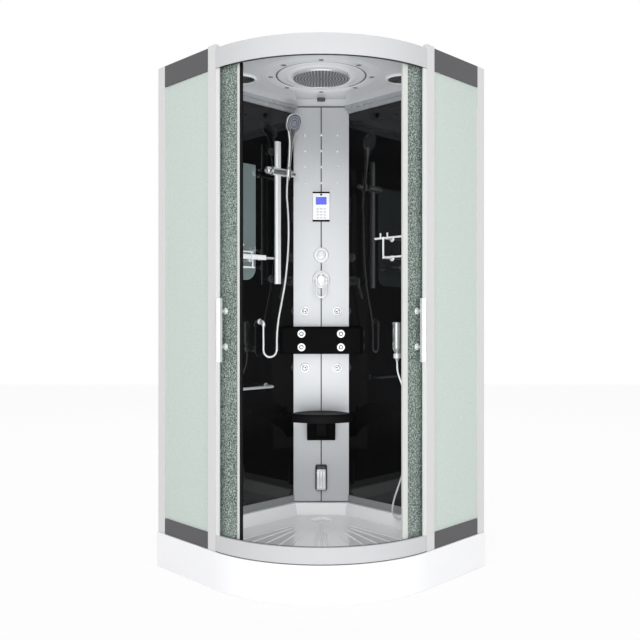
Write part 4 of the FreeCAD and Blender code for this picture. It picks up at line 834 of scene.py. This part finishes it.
def make_jets():
    micro = Form()
    for column in (-1, 0, 1):
        for level in range(4):
            micro.turned(
                on_column(JET_X * column, 1986 - 80 * level),
                (0, 0.6, 24, [(0, 0), (6.5, 0), (6.5, 1.2), (5.2, 2.4), (3.2, 3), (2.2, 2.2)]),
                (1, 0, 24, [(2.2, 2.2), (0, 1.8)]))
    micro.replace("micro_jets", BRIGHT, WHITE_PLASTIC)

    form = Form()
    for side in (-1, 1):
        for z, tilt in ((1105, 16), (821, -16)):
            place = on_column(JET_X * side, z)
            head = place @ shift(0, 0, 2) @ spin(tilt, "X") @ spin(-18 * side, "Y")
            form.turned(
                place,
                (0, 1.2, 48, [(0, 0), (24, 0), (24, 3), (21, 7), (17.4, 8.6), (15.6, 7.6),
                              (15, 5)]),
                (1, 0, 48, [(15, 5), (14.2, 4.4), (13.4, 5)]))
            form.turned(
                head,
                (0, 1, 36, [(13.6, 0), (13.2, 5), (11.2, 8.2), (7.6, 9.8), (4.6, 9.8), (4.2, 8.6)]),
                (1, 0, 36, [(4.2, 8.6), (0, 8)]))
            form.paint = 2
            for angle in (40, 165, 285):
                form.slab(8.4, 11.6, -2.8, 2.8, 7.4, 9.6, head @ spin(angle), 0.3, 1)
        for level in (0, 1):
            form.turned(
                stand(spot(97 * side, BACKREST_FACE, BACKREST_Z + 34 + 66 * level), FRONT),
                (0, 1, 40, [(0, -1), (19.5, -1), (19.5, 2.5), (17.4, 5.6), (12.6, 6), (11.4, 4.6),
                            (10.8, 2)]),
                (1, 0, 40, [(10.8, 2), (6.4, 2.2)]),
                (0, 0.8, 24, [(6.4, 2.2), (6.2, 4.6), (4.6, 5.8), (0, 6)]))
    form.replace("body_jets", JET_WHITE, GRILLE, BLACK_PLASTIC)


def make_control_panel():
    place = on_column(0, PANEL_Z)
    form = Form()
    form.push(rounded_outline(43, 74, 8), 0, 9, place, 1.2)
    form.paint = 1
    form.push(rounded_outline(41.5, 66.5, 3, 4), 8.6, 11.4, place, 0.8)
    form.paint = 2
    for side in (-1, 1):
        form.push(rounded_outline(43, 4, 3.4, 4, (0, side * 70)), 0.2, 12, place, 1)
    form.turn([(0, 11.2), (5.4, 11.2), (5.4, 12.1), (0, 12.4)], place @ shift(0, 59.5, 0), 24, 0.6)
    form.push(rounded_outline(26.6, 18.6, 2, 4, (0, 28.5)), 11.2, 12.2, place, 0.4)
    form.paint = 3
    for column in (-1, 0, 1):
        for level in range(4):
            middle = (18 * column, 15 * level - 56.5)
            outline = rounded_outline(6.5, 3.5, 2.6, 4, middle)
            form.push(outline, 11.2, 12.7, place, 0.5, both=False)
    form.replace("control_panel", SATIN_CHROME, WHITE_PLASTIC, BLACK_PLASTIC, KEY_GREY)
    screen = Form()
    screen.push(rounded_outline(25.4, 17.4, 1.2, 3, (0, 28.5)), 12, 12.9, place, 0.3)
    screen.replace("control_screen", SCREEN)


def make_valves():
    form = Form()
    place = on_column(0, DIVERTER_Z)
    form.turn([(0, 0), (38.5, 0), (38.5, 3), (36.5, 6.4), (31.5, 8), (28, 6.8), (24, 6.6),
        (0, 6.6)], place, 64, 1.4)
    place = on_column(0, MIXER_Z)
    form.turn([(0, 0), (44, 0), (44, 4), (41, 7.4), (36, 8), (33.5, 5.2), (27, 4.4), (25.5, 6.5),
        (24, 10), (24, 37), (22.6, 38), (0, 38)], place, 64, 1.3)
    form.replace("valve_bodies", BRIGHT)

    knob = Form()
    place = on_column(0, DIVERTER_Z, 8.3)
    knob.turn([(0, 0), (22.5, 0), (22.5, 18), (20.4, 22), (17, 23.4), (16.4, 22.4), (15.6, 23.4),
        (14.8, 27.4), (12.5, 29.4), (9, 30), (8.4, 29.2), (7.4, 30), (4, 32), (0, 32.6)], place,
        64, 0.8)
    for step in range(18):
        knob.slab(21.6, 23.1, -1.1, 1.1, 2, 17.4, place @ spin(20 * step), 0.5, 1)
    knob.replace("diverter_knob", BRIGHT)

    cap = Form()
    place = on_column(0, MIXER_Z, 38.3)
    cap.turn([(0, 0), (20, 0), (20, 20), (18.4, 22.6), (15.4, 24), (14.6, 23.2), (0, 23.2)], place,
        48, 1)
    cap.sweep([(-29.5, 0, 12), (29.5, 0, 12)], 4, 20, place)
    cap.paint = 1
    cap.push(rounded_outline(13, 2.6, 2.4, 4, (0, 16.6)), 2, 21.6, place, 0.6)
    cap.replace("mixer_cap", BRIGHT, GRILLE)

    lever = Form()
    lean = radians(14)
    down = Vector((0, -cos(lean), sin(lean)))
    pivot_height, half, reach = 12, 25, 68.5
    line = [(half, 0, pivot_height)]
    for step in range(25):
        turn = pi * step / 24
        line.append(Vector((half * cos(turn), 0, pivot_height)) + down * (reach + half * sin(turn)))
    lever.sweep([*line, (-half, 0, pivot_height)], 4.5, 18, place)
    for side in (-1, 1):
        eye = place @ shift(half * side, 0, pivot_height) @ spin(90, "Y")
        lever.turn([(4.1, -4.5), (7.6, -4.5), (9, -3), (9, 3), (7.6, 4.5), (4.1, 4.5)], eye, 28, 1,
            closed=True)
    lever.replace("mixer_lever", BRIGHT)


def make_steam_outlet():
    form = Form()
    place = on_column(0, OUTLET_Z)
    form.paint = 3
    form.layer([(rounded_outline(29.5 - 20.65 * pull, 64 - 29.5 * pull, 9 * (1 - pull)), level)
        for pull, level in ((0, 0), (0, 20), (0.03, 25), (0.1, 28.6), (0.2, 30))], place)
    form.paint = 0
    form.push(rounded_outline(22.5, 51, 5, 5, (0, -8)), 28, 30.3, place, 0.8)
    form.paint = 1
    form.push(rounded_outline(24, 7.4, 3, 4, (0, 53)), 24, 30.4, place, 0.8)
    form.paint = 0
    for level in (-1, 1):
        line = rounded_outline(21.5, 0.7, 0.6, 2, (0, 53 + 2.6 * level))
        form.push(line, 27, 30.8, place, 0.3, 1)
    form.paint = 2
    for column in (-14, 0, 14):
        form.push(rounded_outline(4.6, 42, 4, 4, (column, -9)), 29.6, 31, place, 0.5, both=False)
    form.replace("steam_outlet", SATIN_CHROME, BLACK_PLASTIC, BRIGHT, DARK_CHROME)


make_column_shade_lines()
make_jets()
make_control_panel()
make_valves()
make_steam_outlet()

# Backrest and seat.


def make_backrest():
    """A foam pad across the corner, crowned in front and pulled in at its ends."""
    narrow, wide, blunt = 137.3, 210.3, 6
    height, ease, end_ease = 135, 16, 22
    rows, columns = 18, 44
    form = Form()
    place = stand(spot(0, 0, BACKREST_Z), FRONT)
    rings = []
    for row in range(rows + 1):
        y = height * row / rows
        edge = min(1, min(y, height - y) / ease)
        pull = sqrt(max(0, 1 - (1 - edge) ** 2))
        ring = []
        front = BACKREST_FACE - 9 * (1 - pull) - 1.2
        half = wide - blunt - 1.5 - 7 * (1 - pull)
        for column in range(columns + 1):
            share = -1 + 2 * column / columns
            x = half * copysign(1 - (1 - abs(share)) ** 1.15, share) if share else 0
            end = max(0, (abs(x) - (half - end_ease)) / end_ease)
            drop = 13 * (1 - sqrt(max(0, 1 - end ** 2)))
            crown = 1.2 * cos(pi / 2 * min(1, abs(x) / half)) * pull
            ring.append((x, y, front - drop + crown))
        side, back_half = half - 12.5, narrow - 1 - 2 * (1 - pull)
        ring += [(side, y, front - 27), (back_half, y, COLUMN_FACE + 0.2),
            (-back_half, y, COLUMN_FACE + 0.2), (-side, y, front - 27)]
        rings.append(form.ring(ring, place))
    form.skin(rings)
    pad = form.finish("backrest_pad", BLACK_PAD, "black_foam", "root", ["backrest"], angle=50)


def seat_outline(inset):
    """The oval of the seat, in from its edge, as (x, depth) points along its four arcs."""
    reach, middle, small = 123, 362, 25
    fore_edge, rear_edge, heart = 423, 232, 335

    def large(gap):
        return (gap ** 2 + reach ** 2 - small ** 2) / (2 * (gap - small))

    fore, rear = large(fore_edge - middle), large(middle - rear_edge)
    fore_centre, rear_centre = fore_edge - fore, rear_edge + rear
    fore_turn = atan2(reach, middle - fore_centre)
    rear_turn = atan2(reach, middle - rear_centre)
    full = 2 * pi
    arcs = [(0, fore_centre, fore, fore_turn, -fore_turn, 26),
        (-reach, middle, small, -fore_turn, -rear_turn, 8),
        (0, rear_centre, rear, -rear_turn, rear_turn - full, 26),
        (reach, middle, small, rear_turn - full, fore_turn - full, 8)]
    # The small arcs can't go in by more than 20, so the rest of an inset shrinks the whole oval.
    gap, size = min(inset, 20), 1 - max(0, inset - 20) / 95
    points = []
    for centre_x, centre_depth, radius, start, end, steps in arcs:
        for step in range(steps):
            turn = start + (end - start) * step / steps
            x = centre_x + (radius - gap) * sin(turn)
            depth = centre_depth + (radius - gap) * cos(turn)
            points.append((x * size, heart + (depth - heart) * size))
    return points


def make_seat():
    form = Form()
    form.layer([(seat_outline(inset), z) for inset, z in (
        (14, 575), (6, 576), (1.5, 579.5), (0, 586), (0, 600), (0.8, 608), (3.5, 613.4), (8, 615.8),
        (14, 616), (22, 614.8), (40, 612.6), (60, 611.8))], stand(spot(0, 0, 0), UP, FRONT))
    hinge_z, hinge_depth = 595.5, 218
    for side in (-1, 1):
        start, end = (20, 48) if side > 0 else (-48, -20)
        eye = stand(spot(start, hinge_depth, hinge_z), (1, 0, 0))
        form.turn([(5.05, 0), (10, 0), (11, 1), (11, 27), (10, 28), (5.05, 28)], eye, 28, 0.6,
            closed=True)
        form.slab(start, end, -7.5, 7.5, hinge_depth + 9, 240, stand(spot(0, 0, hinge_z), FRONT),
            1.2)
    form.replace("seat", BLACK_PLASTIC)


make_backrest()
make_seat()

# Fittings on the two walls.

SHELF_Z = 1349
SPRAY_A, SPRAY_B = 565, 66


def on_left_wall(b, z, a=20):
    return stand(room(a, b, z), LEFT_OUT)


def on_right_wall(a, z):
    return stand(room(a, 20, z), RIGHT_OUT)


def make_handset():
    """A flat paddle handle that widens into a round head with ringed nozzles."""
    lean = radians(8)
    axis = UP * cos(lean) + LEFT_OUT * sin(lean)
    base = room(69, 298, 1775)
    form = Form()
    place = stand(base, axis, LEFT_OUT)
    form.turn([(0, -30), (7.5, -30), (9, -27), (9.4, -19), (12, -16), (12, 16), (11, 24),
        (9.5, 32)], place, 32, 1.5)
    stack = []
    for level in range(15):
        t = level / 14
        half, thick = 9.5 + 12 * t ** 2 + 25 * max(0, t - 0.6), 9.2 - 1.2 * t
        stack.append(([(half * cos(turn), thick * sin(turn) - 3 * t ** 2)
            for turn in (pi * step / 16 for step in range(32))], 30 + 196 * t))
    form.layer(stack, place)
    tilt = radians(70)
    face_out = LEFT_OUT * sin(tilt) + DOWN * cos(tilt)
    head = stand(base + axis * 246 - LEFT_OUT * 8, face_out, axis)
    form.turn([(0, 0.4), (30, 0.6), (44, 4), (48.5, 10), (48.5, 15.6), (46, 19), (42.5, 20),
        (41.4, 18.6)], head, 56, 2)
    for form.paint, line in (
            (3, [(41.4, 18.6), (38.2, 19)]), (1, [(38.2, 19), (30, 19.2)]),
            (3, [(30, 19.2), (28.6, 18.2), (27, 19.3)]), (1, [(27, 19.3), (18, 19.4)]),
            (3, [(18, 19.4), (16.8, 18.4), (15.2, 19.5)]), (1, [(15.2, 19.5), (0, 19.7)])):
        form.turn(line, head, 48)
    form.paint = 2
    for radius, count in ((38, 28), (29, 21), (18.5, 14), (8, 6)):
        form.circle([(1.5, 0), (1.1, 1.6), (0, 1.9)], radius, count, 18, head, 6)
    form.replace("handset", POLISHED, FACE_GREY, GRILLE, DARK_CHROME)


def make_wall_rails():
    form = Form()
    edge, far, shelf_top, shelf_foot = 132, 767, SHELF_Z + 3, SHELF_Z - 3
    for near, bar_z, post_foot, post_top in ((575, 1372, shelf_top, 1372),
            (630, 1401, shelf_top, 1401), (567, 1302, 1302, shelf_foot)):
        form.sweep([room(edge, far, bar_z), room(edge, near, bar_z)], 4, 18)
        form.ball(4.2, room(edge, near, bar_z))
        for b in (far - 8, near + 8):
            form.sweep([room(edge, b, post_foot), room(edge, b, post_top)], 3, 16)
        form.turn([(0, 0), (7, 0), (7, 1.6), (5, 3.4), (3, 4)],
            stand(room(edge, near + 8, shelf_top), UP, BACK), 24, 0.8)
    band = stand(room(140, 505, SHELF_Z), LEFT_OUT)
    form.slab(-262, -88, -11, 11, 0, 4.2, band, 1.4, 3)
    form.slab(-262, -89, -7.5, 7.5, 3.4, 5, band, 0.6)
    form.slab(-86, -52, -11.5, 11.5, 0, 5.4, band, 2, 3)
    form.slab(-50, 0, -11, 11, 0, 5.4, band, 2, 3)
    form.paint = 1
    stand_off, grab_z, bend = 64, 743, 16
    start, end = 773, 400
    form.sweep([room(20, start, grab_z), *quarter(room(stand_off, start - bend, grab_z),
        RIGHT_OUT * bend, LEFT_OUT * bend), *quarter(room(stand_off, end + bend, grab_z),
        LEFT_OUT * bend, RIGHT_OUT * -bend), room(20, end, grab_z)], 7, 20)
    for b in (start, end):
        form.turn([(0, 0), (14, 0), (14, 3), (11, 5.4), (7, 6)], on_left_wall(b, grab_z), 32, 1)
    form.replace("wall_rails", BRIGHT, SILL)


def make_shelf():
    form = Form()
    outline = [room(a, b, 0) for a, b in ((25.3, 767), (136, 767), (140, 763), (140, 459),
        (136, 455), (25.3, 455))]
    form.push(outline, SHELF_Z - 3, SHELF_Z + 3, WORLD, 0.8)
    form.replace("glass_shelf", CLEAR_GLASS)
    trim = Form()
    trim.sweep([room(140.2, 504, SHELF_Z), room(140.2, 455, SHELF_Z)], 4.4, 14)
    for b in (455, 767):
        trim.sweep([room(27, b, SHELF_Z), room(140.2, b, SHELF_Z)], 4.4, 14)
        trim.ball(4.6, room(140.2, b, SHELF_Z))
    for b in (500, 722):
        trim.turn([(0, 0), (15, 0), (15, 3), (12, 6), (9, 7), (9, 16), (7, 18), (0, 18)],
            on_left_wall(b, SHELF_Z, 25), 28, 1)
    trim.finish("shelf_trim", CHROME, "chrome")


def make_towel_rail():
    form = Form()
    near, far, out, high, low = 497, 785, 85, 1445, 1354
    corner, end = 14, 790
    form.sweep([room(near - 48, out, high), room(end, out, high)], 5, 18)
    bend = quarter(room(near + corner, out, low + corner), LEFT_OUT * -corner, DOWN * corner)
    form.sweep([room(near, out, high), *bend, room(end, out, low)], 4.8, 18)
    for a, z in ((near - 48, high), (end, high), (end, low)):
        form.ball(5.6, room(a, out, z), 18)
    for z in (high, low):
        for a in (near, far):
            form.sweep([room(a, 20, z), room(a, out, z)], 6, 18)
            form.turn([(0, 0), (14, 0), (14, 2.6), (11, 5), (6, 6)], on_right_wall(a, z), 32, 1)
        form.ball(6.4, room(far, out, z), 18)
    form.ball(6.4, room(near, out, high), 18)
    form.sweep([room(far, out, low), room(far, out, high)], 4, 16)
    for a in (480, 522):
        form.sweep([room(a, out, high), room(a, out, high + 22)], 4, 16)
        form.ball(4.8, room(a, out, high + 20), 16)
    form.replace("towel_rail", BRIGHT)


def make_hand_spray():
    form = Form()
    place = stand(room(SPRAY_A, SPRAY_B, 870), UP, LEFT_OUT)
    form.turn([(0, 0), (7, 0), (8, 2), (8.6, 6), (12, 12), (12, 39), (21.4, 60), (21.4, 168),
        (22, 170), (22, 177), (19.5, 181), (0, 181)], place, 44, 2)
    for z in (76, 82, 88):
        form.turn([(21.2, z - 1.2), (22, z - 0.6), (22, z + 0.6), (21.2, z + 1.2)], place, 44)
    form.replace("hand_spray", POLISHED)


def make_outlets():
    form = Form()
    for out, wall_point, bend_point in (
            (LEFT_OUT, room(20, 438.5, 1053), room(47.5, 438.5, 1053)),
            (RIGHT_OUT, room(684, 20, 610), room(684, 66, 610))):
        form.turn([(0, 0), (14, 0), (14, 2.5), (11.5, 5), (8, 6)], stand(wall_point, out), 40, 1)
        bend = 8
        elbow = quarter(bend_point - out * bend + DOWN * bend, UP * bend, out * bend)
        form.sweep([wall_point + out * 3, *elbow, bend_point + DOWN * 12], 7.2, 24)
        form.turn([(0, 9), (8.4, 9), (8.4, 19), (7.2, 21), (7.2, 25), (0, 25)],
            stand(bend_point, DOWN, out), 28, 0.6)
        for step in range(6):
            nut = stand(bend_point, DOWN, out) @ spin(60 * step)
            form.slab(6.4, 8.8, -4.2, 4.2, 10.4, 17.6, nut, 0.4, 1)
    low, high = 884, 906
    form.turn([(12.3, low), (17, low), (17, high), (12.3, high)],
        stand(room(SPRAY_A, SPRAY_B, 0), UP, LEFT_OUT), 36, 1.5, closed=True)
    arm = on_right_wall(SPRAY_A, (low + high) / 2)
    form.push(rounded_outline(9, 10, 4), 0, 31, arm, 1)
    form.turn([(0, 0), (19, 0), (19, 2.5), (15, 5), (9, 6)], arm, 36, 1)
    form.replace("wall_outlets", CHROME)


make_handset()
make_wall_rails()
make_shelf()
make_towel_rail()
make_hand_spray()
make_outlets()

# Floor, world and lights.


def white_to_the_eye(tree, low, high):
    """A factor that is high for camera, glossy and transmission rays and low for the others."""
    rays = node(tree, "LightPath").outputs
    seen = rays["Is Camera Ray"]
    for ray in ("Is Glossy Ray", "Is Transmission Ray"):
        seen = node(tree, "Math", {0: seen, 1: rays[ray]}, operation="MAXIMUM").outputs[0]
    return node(tree, "MapRange", {"Value": seen, "To Min": low, "To Max": high}).outputs["Result"]


def make_floor(half=9):
    mesh = bpy.data.meshes.new("floor")
    corners = [(-half, -half, 0), (half, -half, 0), (half, half, 0), (-half, half, 0)]
    mesh.from_pydata(corners, [], [(0, 1, 2, 3)])
    material = bpy.data.materials.new("pale_floor")
    material.use_nodes = True
    tree = material.node_tree
    shader = tree.nodes["Principled BSDF"]
    join(tree, shader, {"Base Color": tone(238, 238, 238), "Roughness": 0.8})
    glow = node(tree, "Emission").outputs[0]
    seen = white_to_the_eye(tree, 0, 0.93)
    blend = node(tree, "MixShader", {0: seen, 1: shader.outputs[0], 2: glow}).outputs[0]
    join(tree, tree.nodes["Material Output"], {"Surface": blend})
    mesh.materials.append(material)
    add("floor", mesh)


def make_world():
    world = bpy.data.worlds.new("studio")
    world.use_nodes = True
    tree = world.node_tree
    join(tree, tree.nodes["Background"],
        {"Color": (1, 1, 1, 1), "Strength": white_to_the_eye(tree, 0.5, 1)})
    bpy.context.scene.world = world


def area_light(name, place, target, size, power):
    light = bpy.data.lights.new(name, "AREA")
    light.shape = "RECTANGLE"
    light.size, light.size_y = size
    light.energy = power
    lamp = add(name, light)
    lamp.location = place
    lamp.rotation_euler = (Vector(target) - Vector(place)).to_track_quat("-Z", "Y").to_euler()
    lamp.visible_glossy = lamp.visible_camera = lamp.visible_transmission = False


make_floor()
make_world()
area_light("key", (-2.2, -4.6, 3.0), (0, 0, 1.1), (3, 3), 84)
area_light("fill", (2.4, -4.4, 2.0), (0, 0, 1.0), (3, 3), 70)
area_light("low", (0, -4.2, 0.5), (0, 0.2, 1.6), (2.4, 0.8), 40)
area_light("back", (0, 4.0, 3.4), (0, 0, 1.0), (4, 3), 90)
area_light("inside", (0, -0.34, 1.15), (0, 0.5, 1.15), (0.5, 1.5), 5)
area_light("upwards", (0, -0.1, 0.5), (0, -0.1, 2.1), (0.5, 0.4), 4)

bpy.context.scene.view_settings.view_transform = "Standard"
